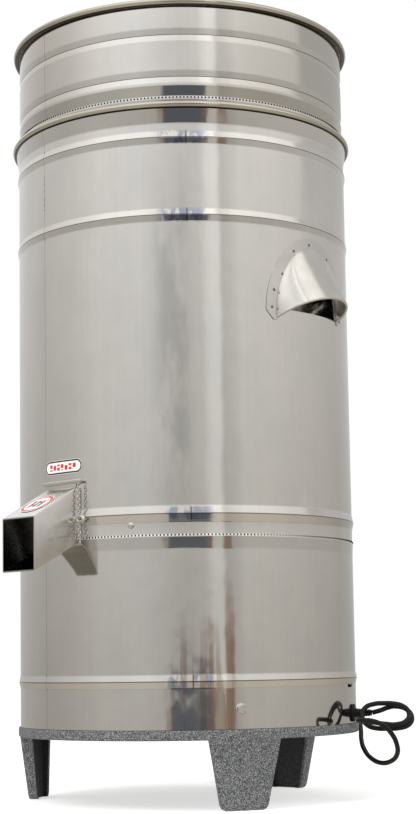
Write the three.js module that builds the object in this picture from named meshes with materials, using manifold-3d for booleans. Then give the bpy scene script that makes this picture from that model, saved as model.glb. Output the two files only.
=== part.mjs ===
// Upright electric drum mill: a stainless steel drum on a three-legged cast base, with a
// lift-off feed ring on top, a motor below the floor plate and a two-blade rotor above it.
// Millimetres, +Z up, floor at z = 0, drum axis on the Z axis, front towards -Y.
import * as THREE from 'three';
import { mergeVertices } from 'three/addons/utils/BufferGeometryUtils.js';
import Module from 'manifold-3d';

const wasm = await Module();
wasm.setup();

// ---------------------------------------------------------------- driving dimensions
const GAP = 0.3;             // air between pieces that touch on the real machine
const SHEET = 1.2;           // drum, ring and chute sheet
const ROUND = 40;            // facets of the large turned pieces
const SMALL = 16;            // facets of the motor's turned pieces

const DRUM_R = 200;          // drum wall, outside
const DRUM_INNER = DRUM_R - SHEET;
const RIM_TUBE = 3.9;        // radius of the rolled rims
const BEAD = { out: 1.8, tall: 16 };
const GROOVE = { out: -1.3, tall: 14 };   // the feed ring's beads are pressed inwards

const Z = {
  flangeLow: 76.4, flangeTop: 87.4, spigotTop: 122,
  gland: 99.2, bolt: 109.5, vents: 131, bead4: 140,
  floorLow: 297.4, floorTop: 300.4, floorRim: 322, screw: 311,
  bead3: 323, bead2: 658, bead1: 747, drumTop: 788,
  ringStep: 793, ringBead2: 818, ringBead1: 867, top: 908,
};

const BASE = { outer: 202.5, inner: 186, spigot: DRUM_INNER - 0.4 };
const LEG = { azimuths: [18.2, 138.2, -101.8], halfTop: 12, halfLow: 8, draft: 8.5,
  deepTop: 14.6, deepLow: 10, wall: 6, corner: 6 };
const BOLT_AZIMUTHS = [16.5, 136.5, -103.5];
const SCREW_AZIMUTHS = [-17.7, 102.3, -137.7];

const CHUTE = { azimuth: -44, wide: 53.5, wall: 1.5, mouth: 265.5, root: 190,
  topAtMouth: 322, lowAtMouth: 262, slope: 0.56, slopeLow: 0.49 };
const GATE = { wide: 49, thick: 1.2, out: 201.2, lipWide: 56, lipPast: 5, lipLow: 361.5, lipTop: 366,
  lipDeep: 3.4, clear: 0.6 };
const CHAIN = { across: 31.2, out: 203.8, top: 360.2, ring: 320.5, ringHalfTall: 4.2, low: 297, wire: 3.6 };
const LABEL = { z: 382, straightHalf: 22.5, r: 8, thick: 0.3 };
const BADGE = { r: 20, out: 238, thick: 0.4, lift: 0.65 };

const HOOD = { azimuth: 47.8, plateHalf: 69, plateMid: 553.6, plateTop: 644, plateLow: 543,
  footHalf: 55.5, footMid: 551, apex: 631.5, out: 34, mouthOut: 570, mouthWall: 546, skew: 10, thick: 1.1 };
const HOOD_HOLE = { half: 48, low: 556, top: 622 };
const VENTS = { count: 12, first: 69.5, step: 18, long: 18, tall: 4 };

const MOTOR = { r: 78, bore: 71.4, low: 150, top: 284, flange: 98, boltRing: 86, boltHole: 4.5, shaft: 12,
  shaftLow: 108, shaftTop: 394, stackLow: 176, stackTop: 256, rotor: 44, stator: 44.8, fins: 18, finWide: 2.4,
  shieldLow: 136, shieldFace: 142, boss: 34, bossTop: 160, bearingLow: 143 };
const COWL = { low: 104, eye: 26, thick: 1.4, slots: 10 };
const FAN = { r: 70, hub: 22, low: 112, disc: 128, top: 134, blades: 8 };
const TERMINAL = { half: 35, low: 190, high: 250, deep: 36, wall: 3, lead: 200 };
const CAPACITOR = { azimuths: [-70, -102], r: 19, low: 180, talls: [84, 66], out: 98.7, strapLow: 212,
  strapTop: 224 };
const HUB = { r: 24, flange: 40, flangeTall: 6, washer: 22, washerTall: 3, nutFlats: 36, nutTall: 17.7 };
const BLADE = { thick: 6, wide: 42, lowerReach: 184, upperReach: 150, lowerZ: 330, upperZ: 356 };

const CORD_R = 2.8;
const COIL = { x: 75, y: 256, inner: 22, outer: 39.1, tall: 10.6 };
const PLUG = { y: 297.6, z: 10.4, boot: 106.6, body: 121, face: 146, pins: 162 };

// ---------------------------------------------------------------- materials
const finish = (color, roughness, metalness) =>
  new THREE.MeshStandardMaterial({ color, roughness, metalness });
const stainless = finish(0xcfccc6, 0.18, 1);
const hammered = finish(0x6c6f72, 0.5, 0.35);
const zinc = finish(0xb9bcc0, 0.35, 1);
const castGrey = finish(0x8b9096, 0.5, 0.7);
const coreSteel = finish(0x55585c, 0.55, 0.8);
const bladeSteel = finish(0x9a9ca0, 0.35, 1);
const rubber = finish(0x141415, 0.6, 0);
const blackPlastic = finish(0x1b1b1c, 0.5, 0);
const greyPlastic = finish(0x3a3d40, 0.5, 0);
const labelWhite = finish(0xf2f2ee, 0.5, 0);
const brass = finish(0xc9a553, 0.3, 1);

// ---------------------------------------------------------------- geometry helpers
const rad = THREE.MathUtils.degToRad;
// Unit vector pointing out of the drum at an azimuth counted from the front, and the one
// pointing to the right of somebody who faces the drum there.
const outward = (az) => new THREE.Vector3(Math.sin(rad(az)), -Math.cos(rad(az)), 0);
const across = (az) => new THREE.Vector3(Math.cos(rad(az)), Math.sin(rad(az)), 0);
const up = new THREE.Vector3(0, 0, 1);

// One closed mesh with shared vertices and its faces pointing out.
function tidy(source) {
  let g = source.clone();
  for (const name of Object.keys(g.attributes)) if (name !== 'position') g.deleteAttribute(name);
  g.clearGroups();
  g = mergeVertices(g, 1e-4);
  const p = g.attributes.position;
  const kept = [];
  let volume = 0;
  const [a, b, c] = [new THREE.Vector3(), new THREE.Vector3(), new THREE.Vector3()];
  for (let i = 0; i < g.index.count; i += 3) {
    const [u, v, w] = [g.index.getX(i), g.index.getX(i + 1), g.index.getX(i + 2)];
    if (u === v || v === w || w === u) continue;
    kept.push(u, v, w);
    a.fromBufferAttribute(p, u);
    b.fromBufferAttribute(p, v);
    c.fromBufferAttribute(p, w);
    volume += a.dot(b.cross(c));
  }
  if (volume < 0) for (let i = 0; i < kept.length; i += 3) [kept[i], kept[i + 1]] = [kept[i + 1], kept[i]];
  g.setIndex(kept);
  return g;
}

function solid(geometry) {
  const g = tidy(geometry);
  return new wasm.Manifold(new wasm.Mesh({
    numProp: 3,
    vertProperties: new Float32Array(g.attributes.position.array),
    triVerts: new Uint32Array(g.index.array),
  }));
}

function geometryOf(manifold) {
  const m = manifold.getMesh();
  const g = new THREE.BufferGeometry();
  const xyz = new Float32Array(m.numVert * 3);
  for (let i = 0; i < m.numVert; i += 1) {
    for (let k = 0; k < 3; k += 1) xyz[i * 3 + k] = m.vertProperties[i * m.numProp + k];
  }
  g.setAttribute('position', new THREE.BufferAttribute(xyz, 3));
  g.setIndex(Array.from(m.triVerts));
  return g;
}

// A profile of [radius, height] points that closes on itself, turned about Z.
function turned(points, facets = SMALL) {
  const closed = [...points, points[0]].map(([r, z]) => new THREE.Vector2(Math.max(r, 0), z));
  return new THREE.LatheGeometry(closed, facets).rotateX(Math.PI / 2);
}
const disc = (r, low, high, facets = SMALL) => turned([[0, low], [r, low], [r, high], [0, high]], facets);
const ring = (r0, r1, low, high, facets = SMALL) =>
  turned([[r0, low], [r1, low], [r1, high], [r0, high]], facets);

// A box given by its lowest and highest corners.
function block(low, high) {
  const size = high.map((h, i) => h - low[i]);
  return new THREE.BoxGeometry(...size).translate(...low.map((l, i) => l + size[i] / 2));
}

// Puts a geometry whose X is across, Y is up the drum and Z is out of it on the drum's side.
function onDrum(geometry, az, out = 0, z = 0) {
  const m = new THREE.Matrix4().makeBasis(across(az), up, outward(az));
  m.setPosition(outward(az).multiplyScalar(out).setZ(z));
  return geometry.applyMatrix4(m);
}
// A cylinder that points out of the drum, from one distance from the axis to another.
const peg = (r, from, to, az, z, facets = 10) =>
  onDrum(disc(r, from, to, facets), az, 0, z);
const hexagon = (flats, from, to, az, z) => peg(flats / Math.sqrt(3), from, to, az, z, 6);

const shapeOf = (points) => new THREE.Shape(points.map(([x, y]) => new THREE.Vector2(x, y)));
const prism = (shape, from, to, curveSegments = 12) =>
  new THREE.ExtrudeGeometry(shape, { depth: to - from, bevelEnabled: false, curveSegments })
    .translate(0, 0, from);

// A solid through rings of 3-D points, all of the same count, with flat caps.
function loft(rings) {
  const n = rings[0].length;
  const xyz = rings.flat().flatMap((p) => [p.x, p.y, p.z]);
  const index = [];
  for (let k = 0; k + 1 < rings.length; k += 1) {
    for (let i = 0; i < n; i += 1) {
      const j = (i + 1) % n;
      const [a, b, c, d] = [k * n + i, k * n + j, (k + 1) * n + j, (k + 1) * n + i];
      index.push(a, b, c, a, c, d);
    }
  }
  const flat = (r) => r.map((p) => new THREE.Vector2(p.x, p.y));
  const last = (rings.length - 1) * n;
  for (const [u, v, w] of THREE.ShapeUtils.triangulateShape(flat(rings[0]), [])) index.push(u, w, v);
  for (const [u, v, w] of THREE.ShapeUtils.triangulateShape(flat(rings.at(-1)), [])) {
    index.push(last + u, last + v, last + w);
  }
  const g = new THREE.BufferGeometry();
  g.setAttribute('position', new THREE.Float32BufferAttribute(xyz, 3));
  g.setIndex(index);
  return g;
}

// A round bar along a curve; an arc is drawn with twice its curveSegments.
function tube(points, r, steps, sides = 8) {
  const curve = new THREE.CatmullRomCurve3(points.map((p) => new THREE.Vector3(...p)), false, 'centripetal');
  const section = new THREE.Shape();
  section.absarc(0, 0, r, 0, Math.PI * 2);
  return new THREE.ExtrudeGeometry(section, { steps, extrudePath: curve, bevelEnabled: false,
    curveSegments: sides / 2 });
}

// ---------------------------------------------------------------- scene graph
const machine = new THREE.Group();
function add(name, shape, material) {
  const geometry = shape.isBufferGeometry ? tidy(shape) : geometryOf(shape);
  const mesh = new THREE.Mesh(geometry, material);
  mesh.name = name;
  machine.add(mesh);
}

// Wall of a rolled sheet cylinder from the bottom up, with beads pressed out or in and its
// top edge curled out round a wire. A bead pressed in shows on the inner side too.
function rolledWall(r, low, top, beads, press) {
  const outer = [[r, low]];
  const inner = [[r - SHEET, low]];
  for (const z of [...beads].sort((a, b) => a - b)) {
    const bead = [[0, -0.5], [press.out, -0.2], [press.out, 0.2], [0, 0.5]];
    outer.push(...bead.map(([out, share]) => [r + out, z + share * press.tall]));
    if (press.out < 0) inner.push(...bead.map(([out, share]) => [r - SHEET + out, z + share * press.tall]));
  }
  const centre = [r + RIM_TUBE - 0.6, top - RIM_TUBE];
  const curl = [-145, -95, -45, 5, 55, 105].map((a) => [centre[0] + RIM_TUBE * Math.cos(rad(a)),
    centre[1] + RIM_TUBE * Math.sin(rad(a))]);
  return { outer: [...outer, ...curl], inner: [...inner, [r - SHEET, top - 1.6]].toReversed() };
}

// ---------------------------------------------------------------- base casting
function legRing(half, outer, deep, z) {
  const steps = [-1, -0.6, -0.2, 0.2, 0.6, 1];
  const at = (r, a) => outward(a).multiplyScalar(r).setZ(z);
  const wallAngle = (LEG.wall / outer) * (180 / Math.PI);
  return [
    ...steps.map((s) => at(outer, s * half)),
    at(outer - deep, half), at(outer - deep, half - wallAngle),
    ...steps.toReversed().map((s) => at(outer - LEG.wall, s * (half - wallAngle))),
    at(outer - deep, -half + wallAngle), at(outer - deep, -half),
  ];
}

function baseLeg(az) {
  const outer = BASE.outer - 0.4;
  const share = LEG.corner / Z.flangeLow;
  const mix = (top, low, t) => low + (top - low) * t;
  const level = (t, narrow, z) => legRing(mix(LEG.halfTop, LEG.halfLow, t) - narrow,
    outer - LEG.draft * (1 - t), mix(LEG.deepTop, LEG.deepLow, t), z);
  const leg = loft([level(0, 1.5, 0), level(share * 0.4, 0.35, LEG.corner * 0.4),
    level(share, 0, LEG.corner), level(1, 0, Z.flangeLow + 2)]);
  return leg.rotateZ(rad(az));
}

const gland = { az: 72, z: Z.gland, neck: 6 };
function baseCasting() {
  const flange = turned([[BASE.inner, Z.flangeLow], [BASE.outer - 1, Z.flangeLow],
    [BASE.outer, Z.flangeLow + 1.5], [BASE.outer, Z.flangeTop - 1], [BASE.outer - 1, Z.flangeTop],
    [BASE.spigot, Z.flangeTop], [BASE.spigot, Z.spigotTop], [BASE.inner, Z.spigotTop]], ROUND);
  let base = solid(flange);
  for (const az of LEG.azimuths) base = base.add(solid(baseLeg(az)));
  for (const az of BOLT_AZIMUTHS) base = base.subtract(solid(peg(3.4, 180, 210, az, Z.bolt, 10)));
  return base.subtract(solid(peg(gland.neck + GAP, 180, 205, gland.az, gland.z, 14)));
}
add('base_casting', baseCasting(), hammered);

// ---------------------------------------------------------------- drum
// Half-ellipse arch standing on a straight foot, as [across, z] points.
function arch(half, mid, top, steps, low = mid) {
  const points = [];
  for (let i = 0; i <= steps; i += 1) {
    const a = Math.PI * (i / steps);
    points.push([half * Math.cos(a), mid + (top - mid) * Math.sin(a)]);
  }
  if (low < mid) points.push([-half * 0.87, low], [half * 0.87, low]);
  return points;
}

const chuteHole = () => onDrum(block([-24, 301.5, 180], [24, 355, 210]), CHUTE.azimuth);

function drumShell() {
  const wall = rolledWall(DRUM_R, Z.flangeTop + GAP, Z.drumTop, [Z.bead4, Z.bead3, Z.bead2, Z.bead1], BEAD);
  let drum = solid(turned([...wall.outer, ...wall.inner], ROUND));
  const hoodHole = prism(shapeOf(arch(HOOD_HOLE.half, HOOD_HOLE.low, HOOD_HOLE.top, 10)), 180, 215);
  drum = drum.subtract(solid(onDrum(hoodHole, HOOD.azimuth)));
  drum = drum.subtract(solid(chuteHole()));
  for (let i = 0; i < VENTS.count; i += 1) {
    const slot = block([-VENTS.long / 2, -VENTS.tall / 2, 190], [VENTS.long / 2, VENTS.tall / 2, 210]);
    drum = drum.subtract(solid(onDrum(slot, VENTS.first + i * VENTS.step, 0, Z.vents)));
  }
  for (const az of BOLT_AZIMUTHS) drum = drum.subtract(solid(peg(3.4, 190, 210, az, Z.bolt, 10)));
  for (const az of SCREW_AZIMUTHS) drum = drum.subtract(solid(peg(2.4, 190, 210, az, Z.screw, 8)));
  return drum.subtract(solid(peg(gland.neck + GAP, 190, 210, gland.az, gland.z, 14)));
}
add('drum_shell', drumShell(), stainless);

const motorBoltPlaces = [45, 135, 225, 315].map((az) => outward(az).multiplyScalar(MOTOR.boltRing));
const motorBoltHoles = () => wasm.Manifold.union(motorBoltPlaces.map((p) =>
  solid(disc(MOTOR.boltHole, 270, 310, 10).translate(p.x, p.y, 0))));

function floorPlate() {
  const edge = DRUM_INNER - 0.4;
  let plate = solid(turned([[MOTOR.shaft + 3, Z.floorLow], [edge, Z.floorLow], [edge, Z.floorRim],
    [edge - 2, Z.floorRim], [edge - 2, Z.floorTop], [MOTOR.shaft + 3, Z.floorTop]], ROUND));
  plate = plate.subtract(solid(chuteHole()));
  for (const az of SCREW_AZIMUTHS) plate = plate.subtract(solid(peg(2.4, 190, 210, az, Z.screw, 8)));
  return plate.subtract(motorBoltHoles());
}
add('floor_plate', floorPlate(), stainless);

// Washer-faced hexagon bolts through the drum skirt into the base casting; the rear one also
// holds the cord clip.
const clipThick = 1;
BOLT_AZIMUTHS.forEach((az, i) => {
  const seat = DRUM_R + GAP + (i === 1 ? clipThick + GAP : 0);
  const bolt = solid(peg(3, 188.5, seat + 2, az, Z.bolt, 10))
    .add(solid(peg(6.2, seat, seat + 1.3, az, Z.bolt)))
    .add(solid(hexagon(10, seat + 1, seat + 5.2, az, Z.bolt)));
  add(`leg_bolt_${i + 1}`, bolt, zinc);
});
SCREW_AZIMUTHS.forEach((az, i) => {
  const head = solid(peg(2, 194, DRUM_R + 1.2, az, Z.screw, 8))
    .add(solid(peg(3.5, DRUM_R + GAP, DRUM_R + 2.2, az, Z.screw, 12)));
  add(`floor_screw_${i + 1}`, head, zinc);
});

// ---------------------------------------------------------------- discharge chute and its gate
const chuteTop = (out) => CHUTE.topAtMouth + (CHUTE.mouth - out) * CHUTE.slope;
const chuteLow = (out) => CHUTE.lowAtMouth + (CHUTE.mouth - out) * CHUTE.slopeLow;

// Duct side view as [out, z], shrunk by the wall inside; extruded across the duct.
function ductBody(half, shrink, from, to) {
  const side = shapeOf([[from, chuteLow(from) + shrink], [to, chuteLow(to) + shrink],
    [to, chuteTop(to) - shrink], [from, chuteTop(from) - shrink]]);
  const body = prism(side, -half, half);
  // Drawn with X out and Y up; turn it so that X is across and Z is out.
  return onDrum(body.applyMatrix4(new THREE.Matrix4().set(0, 0, 1, 0, 0, 1, 0, 0, 1, 0, 0, 0, 0, 0, 0, 1)),
    CHUTE.azimuth);
}
function dischargeChute() {
  const { wide, wall, root, mouth } = CHUTE;
  const drumRound = solid(disc(DRUM_R + GAP, 200, 420, ROUND));
  const beadRound = solid(disc(DRUM_R + BEAD.out + GAP, Z.bead3 - 8.4, Z.bead3 + 8.4, ROUND));
  const slot = block([-GATE.wide / 2 - GATE.clear, 340, GATE.out - GATE.clear],
    [GATE.wide / 2 + GATE.clear, 375, GATE.out + GATE.thick + GATE.clear]);
  return solid(ductBody(wide / 2, 0, root, mouth))
    .subtract(solid(ductBody(wide / 2 - wall, wall * 1.13, root - 5, mouth + 5)))
    .subtract(drumRound).subtract(beadRound)
    .subtract(solid(onDrum(slot, CHUTE.azimuth)));
}
add('discharge_chute', dischargeChute(), stainless);

function gatePlate() {
  const low = chuteLow(GATE.out) + CHUTE.wall * 1.13 + 0.8;
  const plate = block([-GATE.wide / 2, low, GATE.out], [GATE.wide / 2, GATE.lipLow + 1, GATE.out + GATE.thick]);
  const lip = block([-GATE.lipWide / 2, GATE.lipLow, GATE.out],
    [GATE.lipWide / 2 + GATE.lipPast, GATE.lipTop, GATE.out + GATE.lipDeep]);
  return solid(onDrum(plate, CHUTE.azimuth)).add(solid(onDrum(lip, CHUTE.azimuth)));
}
add('gate_plate', gatePlate(), stainless);

// Keeper chain hanging from the lip beside the chute: links, an oval ring and an end tag.
function hanging(geometry, z, shift = 0) {
  const p = outward(CHUTE.azimuth).multiplyScalar(CHAIN.out)
    .add(across(CHUTE.azimuth).multiplyScalar(CHAIN.across + shift));
  const m = new THREE.Matrix4().makeBasis(across(CHUTE.azimuth), up, outward(CHUTE.azimuth));
  m.setPosition(p.x, p.y, z);
  return geometry.applyMatrix4(m);
}
const halfWire = CHAIN.wire / 2;
const chainRun = (low, top) => hanging(block([-halfWire, low, -halfWire], [halfWire, top, halfWire]), 0);
add('keeper_chain', chainRun(CHAIN.ring + CHAIN.ringHalfTall + GAP, CHAIN.top), zinc);
function ovalRing() {
  const torus = new THREE.TorusGeometry(1, 0.28, 5, 12);
  const p = torus.attributes.position;
  for (let i = 0; i < p.count; i += 1) p.setXYZ(i, p.getX(i) * 5, p.getY(i) * 3.28, p.getZ(i) * 3.6);
  return torus;
}
add('chain_ring', hanging(ovalRing(), CHAIN.ring, 2), zinc);
add('chain_end', chainRun(CHAIN.low, CHAIN.ring - CHAIN.ringHalfTall - GAP), zinc);

// ---------------------------------------------------------------- vent hood
// Half cone that leans out from its apex, as a solid between the drum and its outer skin.
function hoodCone(shrink) {
  const { footHalf, footMid, apex, out, mouthOut } = HOOD;
  const levels = [0.02, 0.1, 0.22, 0.38, 0.55, 0.72, 0.86, 1, 1.14].map((t) => apex - (apex - footMid) * t);
  const rings = levels.map((z) => {
    const drop = Math.min((apex - z) / (apex - footMid), 1);
    const wide = Math.max(footHalf * Math.sqrt(1 - (1 - drop) ** 2) - shrink, 1);
    const deep = Math.max(out * ((apex - z) / (apex - mouthOut)) - shrink, 0.6);
    const arc = [...Array(11).keys()].map((i) => (Math.PI * i) / 10);
    const skin = arc.map((a) => new THREE.Vector3(wide * Math.cos(a),
      Math.sqrt(DRUM_R ** 2 - (wide * Math.cos(a)) ** 2) + deep * Math.sin(a), z - shrink));
    return [...skin, new THREE.Vector3(-wide, 180, z - shrink), new THREE.Vector3(wide, 180, z - shrink)];
  });
  return loft(rings.toReversed()).rotateZ(Math.PI);
}
function ventHood() {
  const turn = rad(HOOD.azimuth);
  const cone = solid(hoodCone(0).rotateZ(turn));
  const hollow = solid(hoodCone(HOOD.thick).rotateZ(turn));
  const plate = prism(shapeOf(arch(HOOD.plateHalf, HOOD.plateMid, HOOD.plateTop, 18, HOOD.plateLow)), 180, 215);
  const skin = solid(ring(DRUM_R + GAP, DRUM_R + GAP + HOOD.thick, 500, 700, ROUND * 2));
  const body = cone.add(skin.intersect(solid(onDrum(plate, HOOD.azimuth)))).subtract(hollow);
  // The mouth is cut by a plane that rises outwards from the wall and a little to the right.
  const rise = (HOOD.mouthOut - HOOD.mouthWall) / HOOD.out;
  const below = shapeOf([[180, 480], [300, 480], [300, HOOD.mouthWall + rise * 100],
    [DRUM_R + 2.5, HOOD.mouthWall + rise * 2.5], [DRUM_R + 2.5, 480.5], [180, 480.5]]);
  const slant = HOOD.skew / (2 * HOOD.footHalf);
  const cutter = prism(below, -90, 90)
    .applyMatrix4(new THREE.Matrix4().set(0, 0, 1, 0, 0, 1, slant, HOOD.skew / 2, 1, 0, 0, 0, 0, 0, 0, 1));
  return body.subtract(solid(onDrum(cutter, HOOD.azimuth)))
    .subtract(solid(disc(DRUM_R + GAP, 480, 720, ROUND * 2)));
}
add('vent_hood', ventHood(), stainless);

// ---------------------------------------------------------------- marks
function outletLabel() {
  const pill = new THREE.Shape();
  pill.absarc(LABEL.straightHalf, 0, LABEL.r, -Math.PI / 2, Math.PI / 2);
  pill.absarc(-LABEL.straightHalf, 0, LABEL.r, Math.PI / 2, Math.PI * 1.5);
  const cutter = onDrum(prism(pill, 180, 215, 6), CHUTE.azimuth, 0, LABEL.z);
  const film = ring(DRUM_R + GAP, DRUM_R + GAP + LABEL.thick, 360, 400, ROUND * 2);
  return solid(film).intersect(solid(cutter));
}
add('outlet_label', outletLabel(), labelWhite);

function chuteBadge() {
  const lean = Math.atan(CHUTE.slope);
  const badge = new THREE.CylinderGeometry(BADGE.r, BADGE.r, BADGE.thick, 28).rotateX(lean);
  return onDrum(badge, CHUTE.azimuth, BADGE.out, chuteTop(BADGE.out) + BADGE.lift);
}
add('chute_badge', chuteBadge(), labelWhite);

// ---------------------------------------------------------------- motor under the floor plate
const shieldTop = Z.floorLow - GAP;
const shieldLow = MOTOR.top + GAP;
const bearing = { inner: MOTOR.shaft + GAP, outer: 26, tall: 14 };
function topShield() {
  const low = shieldLow - 18;
  const shield = solid(turned([[MOTOR.bore - GAP, shieldLow - 8], [MOTOR.bore - GAP, shieldLow],
    [MOTOR.flange, shieldLow], [MOTOR.flange, shieldTop], [16, shieldTop], [16, shieldTop - 5],
    [bearing.outer + GAP, shieldTop - 5], [bearing.outer + GAP, low], [MOTOR.boss, low], [MOTOR.boss, shieldLow],
    [MOTOR.bore - 5, shieldLow], [MOTOR.bore - 5, shieldLow - 8]], SMALL));
  return shield.subtract(motorBoltHoles());
}
add('motor_top_shield', topShield(), castGrey);

function motorHousing() {
  let housing = solid(ring(MOTOR.bore, MOTOR.r - 3, MOTOR.low, MOTOR.top, SMALL));
  for (let i = 0; i < MOTOR.fins; i += 1) {
    const fin = block([-MOTOR.finWide / 2, MOTOR.r - 5.2, MOTOR.low], [MOTOR.finWide / 2, MOTOR.r, MOTOR.top])
      .rotateZ(rad((360 / MOTOR.fins) * i + 8));
    housing = housing.add(solid(fin));
  }
  return housing;
}
add('motor_housing', motorHousing(), castGrey);
add('stator_core', ring(MOTOR.stator, MOTOR.bore - GAP, MOTOR.stackLow, MOTOR.stackTop, SMALL), coreSteel);

const lowShieldTop = MOTOR.low - GAP;
const seatLow = MOTOR.bearingLow - 2;
add('motor_bottom_shield', turned([[16, MOTOR.shieldLow], [MOTOR.boss, MOTOR.shieldLow],
  [MOTOR.boss, MOTOR.shieldFace], [MOTOR.r - 2, MOTOR.shieldFace],
  [MOTOR.r - 2, lowShieldTop], [MOTOR.bore - GAP, lowShieldTop], [MOTOR.bore - GAP, lowShieldTop + 7],
  [MOTOR.bore - 5, lowShieldTop + 7], [MOTOR.bore - 5, lowShieldTop], [MOTOR.boss, lowShieldTop],
  [MOTOR.boss, MOTOR.bossTop], [bearing.outer + GAP, MOTOR.bossTop], [bearing.outer + GAP, seatLow],
  [16, seatLow]], SMALL), castGrey);
add('lower_bearing', ring(bearing.inner, bearing.outer, MOTOR.bearingLow, MOTOR.bearingLow + bearing.tall, SMALL),
  zinc);
add('upper_bearing', ring(bearing.inner, bearing.outer, shieldTop - 6 - bearing.tall, shieldTop - 6, SMALL), zinc);
add('shaft_seal', turned([[MOTOR.shaft + GAP, Z.floorTop + GAP], [28, Z.floorTop + GAP],
  [28, Z.floorTop + 4], [20, Z.floorTop + 12], [MOTOR.shaft + GAP, Z.floorTop + 12]], SMALL), rubber);

function fanCowl() {
  const { low, eye, thick, slots } = COWL;
  const high = MOTOR.shieldFace - GAP;
  const r = MOTOR.r - 1;
  let cowl = solid(turned([[eye, low], [r - 7, low], [r, low + 6], [r, high],
    [r - thick, high], [r - thick, low + 7], [r - 7.6, low + thick], [eye, low + thick]], SMALL));
  for (let i = 0; i < slots; i += 1) {
    const slot = block([-4, 34, low - 2], [4, 62, low + 3]).rotateZ(rad((360 / slots) * i));
    cowl = cowl.subtract(solid(slot));
  }
  return cowl;
}
add('fan_cowl', fanCowl(), greyPlastic);

motorBoltPlaces.forEach((p, i) => {
  const bolt = solid(disc(4, shieldLow + 1, Z.floorTop + 2, 10))
    .add(solid(disc(7.5, Z.floorTop + GAP, Z.floorTop + 6, 6)));
  add(`motor_bolt_${i + 1}`, bolt.translate([p.x, p.y, 0]), zinc);
});

// Terminal box on the side of the motor that faces the cord gland, with the lead to it.
const boxAt = MOTOR.r + GAP;
// The box, or its hollow when it is shrunk by the wall, from one distance behind the motor to another.
const terminalBlock = (shrink, from, to) => solid(onDrum(block(
  [shrink - TERMINAL.half, TERMINAL.low + shrink, boxAt + from],
  [TERMINAL.half - shrink, TERMINAL.high - shrink, boxAt + to]), gland.az));
const leadHole = peg(4.2, boxAt + 30, boxAt + 60, gland.az, TERMINAL.lead, 10);
add('terminal_box', terminalBlock(0, 0, TERMINAL.deep)
  .subtract(terminalBlock(TERMINAL.wall, TERMINAL.wall, TERMINAL.deep + 6)), blackPlastic);
add('terminal_box_lid', terminalBlock(0, TERMINAL.deep + GAP, TERMINAL.deep + TERMINAL.wall)
  .subtract(solid(leadHole)), blackPlastic);

const at = (az, r, z) => [Math.sin(rad(az)) * r, -Math.cos(rad(az)) * r, z];
const leadRoute = [[boxAt + 34, TERMINAL.lead], [boxAt + 48, TERMINAL.lead], [boxAt + 62, TERMINAL.lead - 8],
  [155, 165], [160, 128], [166, 108], [182, gland.z]];
add('motor_lead', tube(leadRoute.map(([out, z]) => at(gland.az, out, z)), CORD_R, 24), rubber);

// Start and run capacitors strapped to the other side of the motor.
['start_capacitor', 'run_capacitor'].forEach((name, i) => {
  const { r, low } = CAPACITOR;
  const top = low + CAPACITOR.talls[i];
  add(name, turned([[0, low], [r - 1, low], [r, low + 1], [r, top - 1], [r - 1, top], [6, top], [6, top + 7],
    [0, top + 7]], 20).translate(...at(CAPACITOR.azimuths[i], CAPACITOR.out, 0)), blackPlastic);
});
function capacitorStrap() {
  const { azimuths, r, out, strapLow, strapTop } = CAPACITOR;
  const outline = (grow) => wasm.Manifold.union(azimuths.map((az) =>
    solid(disc(r + GAP + grow, strapLow, strapTop, 24).translate(...at(az, out, 0)))));
  const middle = (azimuths[0] + azimuths[1]) / 2;
  const web = block([-12, -10, -5], [12, 10, 5]).rotateZ(rad(middle))
    .translate(...at(middle, out - 8, (strapLow + strapTop) / 2));
  return outline(SHEET).add(solid(web)).subtract(outline(0))
    .subtract(solid(disc(MOTOR.r + GAP, 200, 240, SMALL * 2)));
}
add('capacitor_strap', capacitorStrap(), zinc);

// ---------------------------------------------------------------- rotor
add('motor_shaft', turned([[0, MOTOR.shaftLow], [MOTOR.shaft - 1, MOTOR.shaftLow],
  [MOTOR.shaft, MOTOR.shaftLow + 1], [MOTOR.shaft, MOTOR.shaftTop - 2], [MOTOR.shaft - 2, MOTOR.shaftTop],
  [0, MOTOR.shaftTop]], SMALL), bladeSteel);
add('rotor_core', ring(MOTOR.shaft + GAP, MOTOR.rotor, MOTOR.stackLow, MOTOR.stackTop, SMALL), coreSteel);
function coolingFan() {
  const { r, hub, low, disc: plate, top, blades } = FAN;
  let fan = solid(turned([[MOTOR.shaft + GAP, low], [hub, low], [hub, plate], [r, plate], [r, plate + 2],
    [hub, plate + 2.5], [hub, top], [MOTOR.shaft + GAP, top]], SMALL));
  for (let i = 0; i < blades; i += 1) {
    const vane = block([-0.9, hub - 2, low + 2], [0.9, r - 2, plate + 1]).rotateZ(rad((360 / blades) * i));
    fan = fan.add(solid(vane));
  }
  return fan;
}
add('cooling_fan', coolingFan(), blackPlastic);

const sleeve = MOTOR.shaft + GAP;
const hubTop = BLADE.lowerZ - GAP;
const hubLow = Z.floorTop + 13;
add('blade_hub', turned([[sleeve, hubLow], [HUB.r, hubLow], [HUB.r, hubTop - HUB.flangeTall],
  [HUB.flange, hubTop - HUB.flangeTall], [HUB.flange, hubTop], [sleeve, hubTop]], SMALL), castGrey);
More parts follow.
